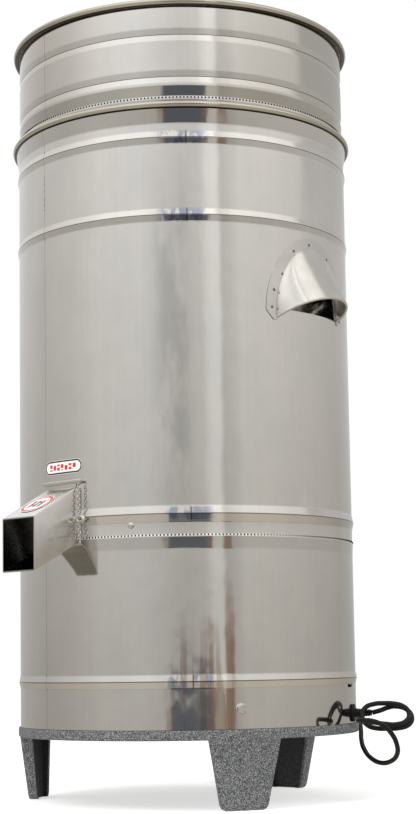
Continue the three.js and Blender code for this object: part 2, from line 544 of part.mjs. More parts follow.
// Flat two-ended bar with a bevelled leading edge at each end.
function blade(reach, low) {
  const w = BLADE.wide / 2;
  const t = low + BLADE.thick;
  const outline = shapeOf([[-reach, -w * 0.6], [-reach + 12, -w], [reach, -w], [reach, w * 0.6],
    [reach - 12, w], [-reach, w]]);
  let bar = solid(prism(outline, low, t));
  for (const side of [1, -1]) {
    const edge = shapeOf([[w - 9, t + 0.01], [w + 1, t + 0.01], [w + 1, low + 1.2]]);
    const wedge = prism(edge, 60, reach + 1)
      .applyMatrix4(new THREE.Matrix4().set(0, 0, 1, 0, -1, 0, 0, 0, 0, 1, 0, 0, 0, 0, 0, 1));
    bar = bar.subtract(solid(side > 0 ? wedge : wedge.rotateZ(Math.PI)));
  }
  return bar.subtract(solid(disc(sleeve, low - 5, t + 5, SMALL)));
}
add('lower_blade', blade(BLADE.lowerReach, BLADE.lowerZ), bladeSteel);
add('blade_spacer', ring(sleeve, HUB.r, BLADE.lowerZ + BLADE.thick + GAP, BLADE.upperZ - GAP, SMALL), castGrey);
add('upper_blade', solid(geometryOf(blade(BLADE.upperReach, BLADE.upperZ)).rotateZ(Math.PI / 2)), bladeSteel);
const washerLow = BLADE.upperZ + BLADE.thick + GAP;
const nutLow = washerLow + HUB.washerTall + GAP;
add('blade_washer', ring(sleeve, HUB.washer, washerLow, washerLow + HUB.washerTall, SMALL), zinc);
add('blade_nut', solid(disc(HUB.nutFlats / Math.sqrt(3), nutLow, nutLow + HUB.nutTall, 6))
  .subtract(solid(disc(sleeve, 350, 400, SMALL))), zinc);

// ---------------------------------------------------------------- feed ring
function feedRing() {
  const r = DRUM_R - 1;
  const wall = rolledWall(r, Z.ringStep, Z.top, [Z.ringBead2, Z.ringBead1], GROOVE);
  const spigot = DRUM_INNER - 0.5;
  const skirt = [[spigot - SHEET, Z.drumTop - 24], [spigot, Z.drumTop - 24], [spigot, Z.drumTop - 1.2],
    [DRUM_R - 0.2, Z.drumTop + 1.4], [r + 0.9, Z.ringStep - 1.5]];
  return turned([...skirt, ...wall.outer, ...wall.inner.slice(0, -1)], ROUND);
}
add('feed_ring', feedRing(), stainless);

// ---------------------------------------------------------------- supply cord
function cordGland() {
  const plate = new THREE.Shape();
  plate.absarc(0, 3.4, 6.8, 0, Math.PI);
  plate.absarc(0, -3.4, 6.8, Math.PI, Math.PI * 2);
  const base = onDrum(prism(plate, DRUM_R + GAP, DRUM_R + 3, 8), gland.az, 0, gland.z);
  const boot = onDrum(turned([[0, 186.5], [gland.neck, 186.5], [gland.neck, 203], [5.2, 203.5],
    [3.7, 222.6], [0, 222.6]], 12), gland.az, 0, gland.z);
  return solid(base).add(solid(boot));
}
add('cord_gland', cordGland(), rubber);

// Route from the tip of the gland's boot: two tied loops beside the drum, one loop hanging
// under the flange, along the drum to the clip at the rear, down and along the floor.
const ROUTE = [
  [212.6, -69, 99.3], [222, -70.5, 101.8], [231, -68.5, 104.8], [240, -67, 106],
  [252, -70.7, 102.5], [257, -79.5, 94], [252, -88.3, 85.5], [240, -92, 82],
  [228, -92, 81.8], [216, -92, 82], [204.2, -89.2, 86], [199.3, -82.5, 95.8],
  [204.2, -75.8, 105.5], [216, -73, 109.5], [226, -72.6, 109.9], [236, -73, 109.5],
  [248, -76.7, 106.1], [253, -85.8, 98], [248, -94.8, 89.9], [236, -98.5, 86.5],
  [222, -99, 87.5], [208, -100, 89.5], [196.3, -104.8, 91], [191.5, -116.5, 92.5],
  [196.3, -128.2, 93], [208, -133, 91.5], [219, -131.5, 86], [228, -125, 77],
  [234.5, -114, 65], [236.5, -100, 53.5], [232, -85, 45], [222.5, -69, 41.5],
  [212, -50, 46], [206, -31, 55.5], [204.8, -13, 65.5], [206.2, 4, 76],
  [206.6, 21, 86], [203.8, 42, 95], [195.6, 66, 102.5], [181.4, 98, 111],
  [163, 126.4, 118], [141.9, 149.6, 121], [122, 166.4, 116], [106.5, 178, 101],
  [96.5, 185.5, 78], [91.5, 189, 54], [88, 191.5, 35], [84.5, 194, 19],
  [78.5, 198.5, 8.5], [70, 204.5, 4], [60.5, 211.5, 2.8], [51.5, 219.5, 2.8],
];
add('supply_cord', tube(ROUTE, CORD_R, 72), rubber);
add('supply_cord_coil', ring(COIL.inner, COIL.outer, 0, COIL.tall, 20).translate(COIL.x, COIL.y, 0), rubber);
const TAIL = [[89.5, 296.4, 8], [95, 297, 8.6], [101, 297.4, 9.6], [PLUG.boot - 0.8, PLUG.y, PLUG.z]];
add('supply_cord_tail', tube(TAIL, CORD_R, 6), rubber);

// Clip that the rear leg bolt clamps, round the cord above it.
function cordClip() {
  const az = BOLT_AZIMUTHS[1];
  const cord = { out: 206.2, z: 121 };
  const seat = DRUM_R + GAP;
  const eye = (r, w) => onDrum(new THREE.CylinderGeometry(r, r, w, 20).rotateZ(Math.PI / 2), az, cord.out, cord.z);
  return solid(onDrum(block([-5, 103.5, seat], [5, 118, seat + clipThick]), az))
    .add(solid(onDrum(block([-5, 113.5, seat], [5, 121, cord.out - 3.3]), az)))
    .add(solid(eye(4.3, 10)))
    .subtract(solid(eye(CORD_R + GAP + 0.1, 12)))
    .subtract(solid(peg(7, seat + clipThick, 215, az, Z.bolt)))
    .subtract(solid(peg(3.4, 190, 210, az, Z.bolt, 12)));
}
add('cord_clip', cordClip(), blackPlastic);

function mainsPlug() {
  const { y, z, boot, body, face } = PLUG;
  const section = (x, w, h, corner) => {
    const points = [];
    for (const [sy, sz, a0] of [[1, 1, 0], [-1, 1, 90], [-1, -1, 180], [1, -1, 270]]) {
      for (const a of [0, 30, 60, 90]) {
        points.push(new THREE.Vector3(x, y + sy * (w / 2 - corner) + corner * Math.cos(rad(a0 + a)),
          z + sz * (h / 2 - corner) + corner * Math.sin(rad(a0 + a))));
      }
    }
    return points;
  };
  // Lofted along X, so the caps are drawn in a turned copy.
  const turnedBack = (points) => points.map((p) => new THREE.Vector3(p.y, p.z, p.x));
  const rings = [section(boot, 7.4, 7.4, 3.6), section(body - 1, 12, 12, 5.8), section(body + 4, 19, 15, 5.5),
    section(face - 6, 31, 20.4, 5), section(face, 31, 20.4, 5)].map(turnedBack);
  const m = new THREE.Matrix4().set(0, 0, 1, 0, 1, 0, 0, 0, 0, 1, 0, 0, 0, 0, 0, 1);
  return loft(rings).applyMatrix4(m);
}
add('mains_plug', mainsPlug(), blackPlastic);
[[-7.5, -1, 30], [7.5, -1, -30], [0, 0, 0]].forEach(([side, drop, tilt], i) => {
  const blade = block([PLUG.face + GAP, -0.8, -3.2], [PLUG.pins, 0.8, 3.2]).rotateX(rad(tilt))
    .translate(0, PLUG.y + side, PLUG.z + (i === 2 ? -5 : 3) + drop);
  add(`plug_pin_${i + 1}`, blade, brass);
});

export default machine;
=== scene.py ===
"""Upright drum mill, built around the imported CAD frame.

A polished drum on a three-legged cast base, with a lift-off feed ring, a discharge chute with
its slide gate and keeper chain, a vent hood, the motor and rotor inside, and a mains lead.
Pieces are made in millimetres in the frame's axes (+Z up, front towards -Y) and stored in metres.
"""
import math

import bmesh
import bpy
from mathutils import Matrix, Vector


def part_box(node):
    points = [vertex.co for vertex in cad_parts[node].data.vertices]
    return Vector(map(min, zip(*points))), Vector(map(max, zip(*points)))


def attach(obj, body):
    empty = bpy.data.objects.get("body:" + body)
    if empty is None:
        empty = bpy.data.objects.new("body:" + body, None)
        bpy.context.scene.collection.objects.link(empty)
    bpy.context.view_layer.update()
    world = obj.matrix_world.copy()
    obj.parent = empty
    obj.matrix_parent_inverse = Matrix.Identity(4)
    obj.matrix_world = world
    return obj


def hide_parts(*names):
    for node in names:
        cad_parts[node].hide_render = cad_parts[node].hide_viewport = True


bl_info = {
    "name": "Upright drum mill",
    "version": (1, 0, 0),
    "blender": (4, 5, 0),
    "location": "View3D > Sidebar > Drum mill",
    "description": "Builds the visible pieces of an upright drum mill around its CAD frame",
    "category": "Object",
}

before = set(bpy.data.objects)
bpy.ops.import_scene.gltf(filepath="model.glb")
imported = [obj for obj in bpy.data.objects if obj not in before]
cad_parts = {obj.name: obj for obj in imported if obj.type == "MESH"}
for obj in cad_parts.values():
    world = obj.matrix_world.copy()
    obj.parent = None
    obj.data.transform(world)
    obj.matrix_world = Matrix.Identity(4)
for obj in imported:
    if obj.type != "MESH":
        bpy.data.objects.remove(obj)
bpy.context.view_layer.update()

MM = 0.001
TURN = 2 * math.pi
Z_AXIS = Vector((0, 0, 1))


# ------------------------------------------------------------------ sizes read from the frame
def box_mm(node):
    """Lowest and highest corner of a CAD node, in millimetres."""
    low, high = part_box(node)
    return low / MM, high / MM


DRUM_LOW = box_mm("drum_shell")[0].z
RIM_TOP = box_mm("drum_shell")[1].z
RING_TOP = box_mm("feed_ring")[1].z
SKIRT_LOW = box_mm("feed_ring")[0].z
FLOOR_LOW = box_mm("floor_plate")[0].z
FLOOR_RIM = box_mm("floor_plate")[1].z
FLOOR_TOP = FLOOR_LOW + 3
FLANGE_TOP = DRUM_LOW - 0.3
FLANGE_LOW = FLANGE_TOP - 11
SPIGOT_TOP = box_mm("base_casting")[1].z

# ------------------------------------------------------------------ sizes of this machine, mm
GAP = 0.3
SHEET = 1.2
DRUM_R = 200.0
RIM_TUBE = 3.9
BEADS = (140, 323, 658, 747)
LOW_BEAD, CHUTE_BEAD, HIGH_BEAD = BEADS[:3]
RING_BEADS = (818, 867)
RING_STEP = 793
SEAM_AZ = 1.6
BACK_SEAM_AZ = -53.0
LEG_AZ = (18.2, 138.2, -101.8)
BOLT_AZ = (16.5, 136.5, -103.5)
BOLT_Z = 109.5
SCREW_AZ = (-17.7, 102.3, -137.7)
SCREW_Z = 311
GLAND_AZ = 72
GLAND_Z = 99.2
CHUTE_AZ = -44
HOOD_AZ = 47.8
BOLT_BORE, SCREW_BORE, GLAND_BORE, SHAFT_BORE = 3.4, 2.4, 6.3, 12.3
MOTOR_BOLT_R = 86
# Two opposite corners of the drum's port behind the chute: sideways, up and out.
PORT = ((-24, 301.5, 180), (24, 355, 215))
VENTS = {"count": 12, "first": 69.5, "step": 18, "long": 18, "tall": 4, "z": 131}


def outward(az):
    """Unit vector out of the drum at an azimuth counted from the front towards +X."""
    a = math.radians(az)
    return Vector((math.sin(a), -math.cos(a), 0))


def across(az):
    """Unit vector to the right of somebody who faces the drum at that azimuth."""
    a = math.radians(az)
    return Vector((math.cos(a), math.sin(a), 0))


def on_drum(az, out, z, side=0.0):
    """Point given by its distance from the drum's axis, its height and its place sideways."""
    return outward(az) * out + across(az) * side + Z_AXIS * z


def drum_basis(az, out=0.0, z=0.0):
    """Matrix that takes X to sideways, Y to up and Z to out of the drum."""
    matrix = Matrix((across(az), Z_AXIS, outward(az))).transposed().to_4x4()
    matrix.translation = on_drum(az, out, z)
    return matrix


def motor_bolt_places(z=0.0):
    """Matrices that put something on the axis of each of the four motor bolts."""
    return [Matrix.Translation(outward(45 + 90 * i) * MOTOR_BOLT_R + Z_AXIS * z) for i in range(4)]


# ------------------------------------------------------------------ node trees as expressions
class Value:
    """A socket that can be used in Python arithmetic; each operation adds a Math node."""

    def __init__(self, graph, socket):
        self.graph = graph
        self.socket = socket

    def math(self, operation, *others):
        return self.graph.math(operation, self, *others)

    def __add__(self, other):
        return self.math("ADD", other)

    def __radd__(self, other):
        return self.graph.math("ADD", other, self)

    def __sub__(self, other):
        return self.math("SUBTRACT", other)

    def __rsub__(self, other):
        return self.graph.math("SUBTRACT", other, self)

    def __mul__(self, other):
        return self.math("MULTIPLY", other)

    def __rmul__(self, other):
        return self.graph.math("MULTIPLY", other, self)

    def __truediv__(self, other):
        return self.math("DIVIDE", other)

    def within(self, centre, half, soft):
        """1 inside centre +- half, falling to 0 over soft."""
        distance = (self - centre).math("ABSOLUTE")
        return distance.fade(half + soft, half)

    def fade(self, zero, one):
        """0 at one value and 1 at another, smooth between them."""
        made = self.graph.node("ShaderNodeMapRange", {"interpolation_type": "SMOOTHSTEP"},
                               {"Value": self, "From Min": zero, "From Max": one})
        return self.graph.out(made, "Result")


class Graph:
    """A node tree that is filled by expressions."""

    def __init__(self, tree):
        self.tree = tree

    def node(self, kind, settings=None, inputs=None):
        """Adds a node: its settings first, then the values or links of its sockets."""
        made = self.tree.nodes.new(kind)
        for name, value in (settings or {}).items():
            if name == "stops":
                self.set_stops(made.color_ramp, value)
            else:
                setattr(made, name, value)
        for key, value in (inputs or {}).items():
            socket = made.inputs[key]
            if isinstance(value, Value):
                self.tree.links.new(value.socket, socket)
            else:
                socket.default_value = value
        return made

    @staticmethod
    def set_stops(ramp, stops):
        while len(ramp.elements) > 1:
            ramp.elements.remove(ramp.elements[-1])
        for i, (place, colour) in enumerate(stops):
            element = ramp.elements[0] if i == 0 else ramp.elements.new(place)
            element.position = place
            element.color = (*colour, 1) if len(colour) == 3 else colour

    def out(self, node, name=0):
        return Value(self, node.outputs[name])

    def math(self, operation, *values):
        made = self.node("ShaderNodeMath", {"operation": operation},
                         dict(enumerate(values)))
        return self.out(made)

    def mix(self, factor, first, second):
        """Blends two colours."""
        made = self.node("ShaderNodeMix", {"data_type": "RGBA"},
                         {0: factor, 6: rgba(first), 7: rgba(second)})
        return Value(self, made.outputs[2])

    def noise(self, vector, scale, detail=2.0, rough=0.5):
        made = self.node("ShaderNodeTexNoise", {},
                         {"Vector": vector, "Scale": scale, "Detail": detail, "Roughness": rough})
        return self.out(made, 0)

    def combine(self, x, y, z):
        return self.out(self.node("ShaderNodeCombineXYZ", {}, {0: x, 1: y, 2: z}))

    def azimuth(self, x, y):
        """Degrees round the drum's axis from the front towards +X."""
        return self.math("ARCTAN2", x, 0 - y) * math.degrees(1)

    def place(self):
        """Object coordinates in millimetres, as a vector and as its three parts."""
        coordinates = self.node("ShaderNodeTexCoord")
        scaled = self.node("ShaderNodeVectorMath", {"operation": "SCALE"},
                           {0: self.out(coordinates, "Object"), "Scale": 1 / MM})
        vector = self.out(scaled)
        parts = self.node("ShaderNodeSeparateXYZ", {}, {0: vector})
        return vector, self.out(parts, 0), self.out(parts, 1), self.out(parts, 2)


def rgba(colour):
    if isinstance(colour, Value):
        return colour
    return (*colour[:3], 1.0)


def new_material(name, **sockets):
    """A Principled material with plain values on its sockets; returns material, graph, shader."""
    material = bpy.data.materials.new(name)
    material.use_nodes = True
    graph = Graph(material.node_tree)
    shader = material.node_tree.nodes["Principled BSDF"]
    for key, value in sockets.items():
        shader.inputs[key.replace("_", " ").title().replace("Ior", "IOR")].default_value = value
    return material, graph, shader


def connect(graph, shader, **sockets):
    for key, value in sockets.items():
        graph.tree.links.new(value.socket, shader.inputs[key.replace("_", " ").title()])


def bump(graph, height, strength, distance_mm):
    made = graph.node("ShaderNodeBump", {}, {"Height": height, "Strength": strength,
                                             "Distance": distance_mm * MM})
    return graph.out(made)


def lines_at(value, places, half, soft):
    """1 within half of any of the places, fading over soft."""
    made = value.within(places[0], half, soft)
    for place_at in places[1:]:
        made = made.math("MAXIMUM", value.within(place_at, half, soft))
    return made


# ------------------------------------------------------------------ finishes
HAZE = (0.765, 0.76, 0.75)
WARM_SHADE = (0.60, 0.575, 0.535)
RIM_SHADOW = (0.012, 0.012, 0.012)
RUST = (0.20, 0.06, 0.02)


def polished_steel(look):
    """Mirror-bright rolled sheet: faint rolling lines, slight waves, a rougher patch along the front seam and
    a rusted weld, with painted reflections and shade: brown, blue and grey reflections by the front seam, tan
    reflection on the rolled rims, a dark line on each bead's crest and under each rim, and warm shade on the
    ring away from the front.
    """
    material, graph, shader = new_material("Polished steel", metallic=1.0)
    vector, x, y, z = graph.place()
    azimuth = graph.azimuth(x, y)
    wrap = graph.combine(azimuth, z * 0.004, 0.0)
    streaks = graph.noise(wrap, 0.9, 4.0, 0.6)
    fine = graph.noise(wrap, 9.0, 2.0, 0.5)
    clouds = graph.noise(graph.combine(azimuth * 0.9, z * 0.1, 0.0), 0.11, 3.0)
    blue_reflection_patches = graph.noise(graph.combine(azimuth, z * 0.12, 5.0), 0.33, 3.0, 0.65)
    # Painted dark reflection streak along the front seam in colour; the same mask also makes the sheet
    # rougher there.
    smudge_and_reflection = graph.noise(graph.combine(azimuth * 0.8, z * 0.07, 2.0), 0.17, 4.0, 0.6).fade(0.34, 0.66)
    smudge_and_reflection = smudge_and_reflection * azimuth.within(-3.5, 2.0, 6.0) * z.fade(290.0, 380.0) * z.fade(730.0, 640.0)
    near_seam = azimuth.within(0.5, 5.0, 5.0)
    # Painted shade: a dark line along each bead's crest.
    crest_shade_lines = lines_at(z, (*BEADS, *RING_BEADS), 0.25, 0.5)
    near_bead = lines_at(z, BEADS, 6.0, 3.0)
    tops = (RIM_TOP, RING_TOP)
    under_rims = lines_at(z, [top - 2 * RIM_TUBE + 0.2 for top in tops], 0.35, 0.5)
    # Painted tan reflection on the rolled rims.
    rims = lines_at(z, [top - 3.0 for top in tops], 3.2, 0.8)
    tick = azimuth.within(SEAM_AZ, 0.14, 0.12) * near_bead
    side_seam = azimuth.within(BACK_SEAM_AZ, 0.10, 0.14)
    rust = side_seam * z.within(705.0, 20.0, 4.0) * graph.noise(vector, 0.4, 2.0).fade(0.45, 0.55)
    # Painted brown reflection low by the front seam.
    runs = graph.noise(graph.combine(azimuth, z * 0.012, 5.0), 0.45, 2.0)
    painted_brown_reflection = z.fade(230.0, 125.0) * azimuth.within(5.0, 8.0, 3.0) * runs.fade(0.46, 0.60)
    # Painted blue reflection by the front seam near the beads.
    blue = near_bead * near_seam * blue_reflection_patches.fade(0.44, 0.56)
    base = graph.mix(streaks.fade(0.3, 0.72), [c * 0.985 for c in look.colour],
                     [min(1, c * 1.01) for c in look.colour])
    base = graph.mix(clouds.fade(0.35, 0.7) * 0.5, base, HAZE)
    base = graph.mix(smudge_and_reflection * 0.6, base, look.smudge_and_reflection)
    base = graph.mix(painted_brown_reflection * 0.65, base, look.brown_reflection)
    base = graph.mix(blue * 0.6, base, look.blue_reflection)
    base = graph.mix(rims * 0.8, base, look.rim_reflection_colour)
    off_middle = (azimuth + 9.0).math("ABSOLUTE").fade(6.0, 42.0)
    base = graph.mix(off_middle * z.fade(792.0, 794.0) * 0.75, base, WARM_SHADE)
    base = graph.mix(crest_shade_lines * 0.8, base, look.crest_shade_and_seam_line)
    base = graph.mix(under_rims * 0.95, base, RIM_SHADOW)
    base = graph.mix(tick.math("MAXIMUM", side_seam * 0.45) * 0.8, base, look.crest_shade_and_seam_line)
    base = graph.mix(rust * 0.9, base, RUST)
    rough = streaks * 0.025 + fine * 0.015 + (look.roughness - 0.02) + smudge_and_reflection * 0.10 + painted_brown_reflection * 0.05
    waves = graph.noise(graph.combine(azimuth, z * 0.2, 0.0), 0.085, 2.0) * 0.8
    smear = graph.noise(graph.combine(azimuth, z * 0.10, 9.0), 0.22, 2.0, 0.5) * near_seam * 0.3
    relief = waves + smear + fine * 0.004 + side_seam * 0.1
    connect(graph, shader, base_color=base, roughness=rough, normal=bump(graph, relief, 1.0, 0.55))
    return material


def plain_sheet(look):
    """The same steel off the drum: satin sheet with fine lines and a few finger marks, and painted shade
    inside and under the chute.
    """
    material, graph, shader = new_material("Satin steel sheet", metallic=1.0)
    vector, x, y, z = graph.place()
    stretched = graph.combine(x, y, z * 0.05)
    lines = graph.noise(stretched, 1.4, 3.0, 0.6)
    marks = graph.noise(vector, 0.035, 3.0, 0.6)
    base = graph.mix(marks.fade(0.4, 0.7), [c * 0.9 for c in look.colour], look.colour)
    a = math.radians(CHUTE_AZ)
    out = x * math.sin(a) - y * math.cos(a)
    side = (x * math.cos(a) + y * math.sin(a)).math("ABSOLUTE")
    under_top = CHUTE["top"] + (CHUTE["mouth"] - out) * CHUTE["slope"] - z
    over_floor = z - CHUTE["low"] - (CHUTE["mouth"] - out) * CHUTE["slope_low"]
    # Painted shade on the chute's inner faces.
    inside = side.fade(26.2, 25.8) * under_top.fade(0.7, 1.2) * over_floor.fade(0.7, 1.2)
    inside = inside * out.fade(203.5, 205.0)
    base = graph.mix(inside * 0.75, base, look.chute_shade)
    # Painted shade on the chute's underside.
    underside = over_floor.fade(0.6, 0.3) * out.fade(203.5, 205.0) * side.fade(40.0, 36.0)
    base = graph.mix(underside * 0.68, base, look.chute_shade)
    connect(graph, shader, base_color=base, roughness=lines * 0.06 + marks * 0.10 + look.roughness,
            normal=bump(graph, lines * 0.05 + marks * 0.6, 0.6, 0.4))
    return material


def hammered_paint(look):
    """Silver-vein paint: a dark ground with bright broken veins and a pebbled surface, and painted shade
    inside the leg channels.
    """
    material, graph, shader = new_material("Hammered paint", metallic=0.15, specular_ior_level=0.45)
    vector, x, y, z = graph.place()
    cells = graph.node("ShaderNodeTexVoronoi", {"feature": "DISTANCE_TO_EDGE"},
                       {"Vector": vector, "Scale": 0.72})
    edges = graph.out(cells, "Distance").fade(0.16, 0.02)
    grain = graph.noise(vector, 1.25, 4.0, 0.75)
    broken = graph.noise(vector, 0.55, 3.0, 0.6)
    veins = edges * broken.fade(0.4, 0.58) + grain.fade(0.54, 0.66)
    veins = veins.math("MINIMUM", 1.0)
    base = graph.mix(veins, look.ground, look.vein)
    azimuth = graph.azimuth(x, y)
    # Painted shade on the inner faces of the leg channels.
    reach = 193.6 + z * 8.5 / FLANGE_LOW
    behind = ((x * x + y * y).math("SQRT") - reach).fade(-2.5, -4.5)
    behind = behind * z.fade(FLANGE_LOW + 0.5, FLANGE_LOW - 1)
    legs = [((azimuth - az).math("ABSOLUTE") - z * 4.0 / FLANGE_LOW).fade(6.9, 6.5) for az in LEG_AZ]
    channel = legs[0].math("MAXIMUM", legs[1]).math("MAXIMUM", legs[2])
    base = graph.mix(channel * behind * 0.85, base, look.channel_shade)
    connect(graph, shader, base_color=base, roughness=0.62 - veins * 0.2,
            normal=bump(graph, veins * 0.5 + grain, 0.5, 0.5))
    return material


def bright_plate():
    """Zinc or nickel plate on small fittings."""
    material, graph, shader = new_material("Bright plate", metallic=1.0)
    vector, *_ = graph.place()
    mottle = graph.noise(vector, 0.35, 3.0, 0.6)
    fine = graph.noise(vector, 2.2, 2.0)
    base = graph.mix(mottle.fade(0.35, 0.7), (0.72, 0.72, 0.70), (0.88, 0.88, 0.87))
    connect(graph, shader, base_color=base, roughness=0.16 + mottle * 0.16,
            normal=bump(graph, fine, 0.3, 0.06))
    return material


def enamel(name, colour, roughness, specular=0.5):
    """Sprayed or moulded surface with a slight orange peel and dust in its tone."""
    material, graph, shader = new_material(name, metallic=0.0, specular_ior_level=specular)
    vector, *_ = graph.place()
    peel = graph.noise(vector, 0.5, 2.0)
    dust = graph.noise(vector, 0.03, 4.0, 0.6)
    base = graph.mix(dust.fade(0.35, 0.75), [c * 0.86 for c in colour], [min(1, c * 1.14) for c in colour])
    connect(graph, shader, base_color=base, roughness=dust * 0.12 + (roughness - 0.06),
            normal=bump(graph, peel, 0.35, 0.15))
    return material


def machined(name, colour, roughness):
    """Turned or ground steel with round tool marks about the drum's axis."""
    material, graph, shader = new_material(name, metallic=1.0)
    vector, x, y, z = graph.place()
    radius = (x * x + y * y).math("SQRT")
    marks = graph.noise(graph.combine(radius, z * 0.3, 0.0), 1.6, 3.0, 0.6)
    worn = graph.noise(vector, 0.05, 4.0, 0.6)
    base = graph.mix(worn.fade(0.3, 0.7), [c * 0.82 for c in colour], colour)
    connect(graph, shader, base_color=base, roughness=marks * 0.14 + worn * 0.1 + (roughness - 0.1),
            normal=bump(graph, marks, 0.4, 0.08))
    return material


def cord_jacket():
    """Satin black jacket with a faint print-free grain."""
    material, graph, shader = new_material("Cord jacket", metallic=0.0, specular_ior_level=0.3)
    vector, *_ = graph.place()
    grain = graph.noise(vector, 1.3, 3.0, 0.6)
    scuffs = graph.noise(vector, 0.09, 4.0, 0.6)
    base = graph.mix(scuffs.fade(0.5, 0.8), (0.005, 0.005, 0.006), (0.018, 0.018, 0.019))
    connect(graph, shader, base_color=base, roughness=0.34 + scuffs * 0.22,
            normal=bump(graph, grain, 0.3, 0.1))
    return material


def label_film(look):
    """Pill label: white film, dark border and a row of seven plain red tiles."""
    material, graph, shader = new_material("Printed label", roughness=0.32)
    _, x, y, z = graph.place()
    a = math.radians(CHUTE_AZ)
    side = x * math.cos(a) + y * math.sin(a)
    height = z - LABEL["z"]
    straight = LABEL["long"] / 2 - LABEL["tall"] / 2
    beyond = (side.math("ABSOLUTE") - straight).math("MAXIMUM", 0.0)
    from_edge = LABEL["tall"] / 2 - (beyond * beyond + height * height).math("SQRT")
    border = from_edge.within(LABEL["inset"], 0.85, 0.15)
    tile = LABEL["pitch"]
    along = ((side / tile + 0.5).math("FRACT") - 0.5).math("ABSOLUTE")
    notch = (height * 0.9 + (side / tile + 0.5).math("FLOOR") * 2.3).math("SINE").fade(-0.9, -0.6)
    tiles = along.fade(0.40, 0.34) * height.within(0.0, 3.4, 0.3) * notch
    tiles = tiles * side.within(0.0, tile * 3.5, 0.1)
    base = graph.mix(tiles, look.paper, look.red)
    base = graph.mix(border, base, (0.03, 0.03, 0.03))
    connect(graph, shader, base_color=base, normal=bump(graph, border + tiles, 0.2, 0.05))
    return material


def badge_film(look):
    """Round sticker: white film, red ring and plain dark bars, with no lettering."""
    material, graph, shader = new_material("Round sticker", roughness=0.3)
    _, x, y, _ = graph.place()
    centre = badge_centre()
    a = math.radians(CHUTE_AZ)
    side = (x - centre.x) * math.cos(a) + (y - centre.y) * math.sin(a)
    depth = ((x - centre.x) * math.sin(a) - (y - centre.y) * math.cos(a)) / math.cos(chute_lean())
    radius = (side * side + depth * depth).math("SQRT")
    red_ring = radius.within(BADGE["r"] * 0.88, BADGE["r"] * 0.08, 0.3)
    bars = ((side / 7.4 + 0.5).math("FRACT") - 0.5).math("ABSOLUTE").fade(0.36, 0.32)
    bars = bars * radius.fade(12.0, 11.5) * depth.within(0.0, 8.0, 0.4)
    slash = (side * 0.64 + depth * 0.77).within(0.0, 1.3, 0.3) * radius.fade(14.5, 14.0)
    base = graph.mix(bars, look.paper, (0.06, 0.06, 0.07))
    base = graph.mix(red_ring.math("MAXIMUM", slash), base, look.red)
    connect(graph, shader, base_color=base, normal=bump(graph, bars + red_ring, 0.15, 0.05))
    return material


# ------------------------------------------------------------------ mesh tools
def finish_mesh(bm, name, material, angle=35):
    """Turns a closed bmesh in millimetres into an object in metres with its faces pointing out."""
    bmesh.ops.remove_doubles(bm, verts=bm.verts, dist=1e-4)
    if bm.calc_volume(signed=True) < 0:
        bmesh.ops.reverse_faces(bm, faces=bm.faces)
    bmesh.ops.scale(bm, vec=(MM, MM, MM), verts=bm.verts)
    mesh = bpy.data.meshes.new(name)
    bm.to_mesh(mesh)
    bm.free()
    mesh.shade_smooth()
    mesh.set_sharp_from_angle(angle=math.radians(angle))
    piece = bpy.data.objects.new(name, mesh)
    bpy.context.scene.collection.objects.link(piece)
    if material:
        mesh.materials.append(material)
    return piece


def settle(piece):
    """Replaces a piece's mesh with what its modifiers make, and removes them."""
    bpy.context.view_layer.update()
    seen = piece.evaluated_get(bpy.context.evaluated_depsgraph_get())
    mesh = bpy.data.meshes.new_from_object(seen)
    piece.modifiers.clear()
    piece.data = mesh
    return piece


def bevel(piece, width_mm, segments=2, angle=35):
    made = piece.modifiers.new("Bevel", "BEVEL")
    made.width = width_mm * MM
    made.segments = segments
    made.limit_method = "ANGLE"
    made.angle_limit = math.radians(angle)
    made.harden_normals = True
    return settle(piece)


def combine(piece, others, operation="DIFFERENCE", angle=35):
    """Cuts or joins solids with exact booleans and removes the tools."""
    for tool in others:
        made = piece.modifiers.new("Cut", "BOOLEAN")
        made.operation = operation
        made.solver = "EXACT"
        made.object = tool
    settle(piece)
    for tool in others:
        bpy.data.objects.remove(tool)
    piece.data.shade_smooth()
    piece.data.set_sharp_from_angle(angle=math.radians(angle))
    return piece


def turned(name, profile, material, segments=96, angle=35):
    """Turns a closed outline of (radius, height) about the drum's axis."""
    bm = bmesh.new()
    rings = []
    for radius, height in profile:
        if radius < 1e-6:
            rings.append([bm.verts.new((0, 0, height))] * segments)
            continue
        rings.append([bm.verts.new((radius * math.sin(TURN * i / segments),
                                    -radius * math.cos(TURN * i / segments), height))
                      for i in range(segments)])
    for k, ring in enumerate(rings):
        following = rings[(k + 1) % len(rings)]
        for i in range(segments):
            j = (i + 1) % segments
            corners = []
            for vert in (ring[i], ring[j], following[j], following[i]):
                if vert not in corners:
                    corners.append(vert)
            if len(corners) > 2:
                bm.faces.new(corners)
    return finish_mesh(bm, name, material, angle)


def lofted(name, rings, material, angle=35, caps=True, closed=False):
    """Skin through rings of points; with caps, its ends are closed."""
    bm = bmesh.new()
    made = [[bm.verts.new(point) for point in ring] for ring in rings]
    pairs = list(zip(made, made[1:])) + ([(made[-1], made[0])] if closed else [])
    for ring, following in pairs:
        for i in range(len(ring)):
            j = (i + 1) % len(ring)
            bm.faces.new((ring[i], ring[j], following[j], following[i]))
    if caps:
        bm.faces.new(made[0])
        bm.faces.new(made[-1][::-1])
    bmesh.ops.recalc_face_normals(bm, faces=bm.faces)
    return finish_mesh(bm, name, material, angle)


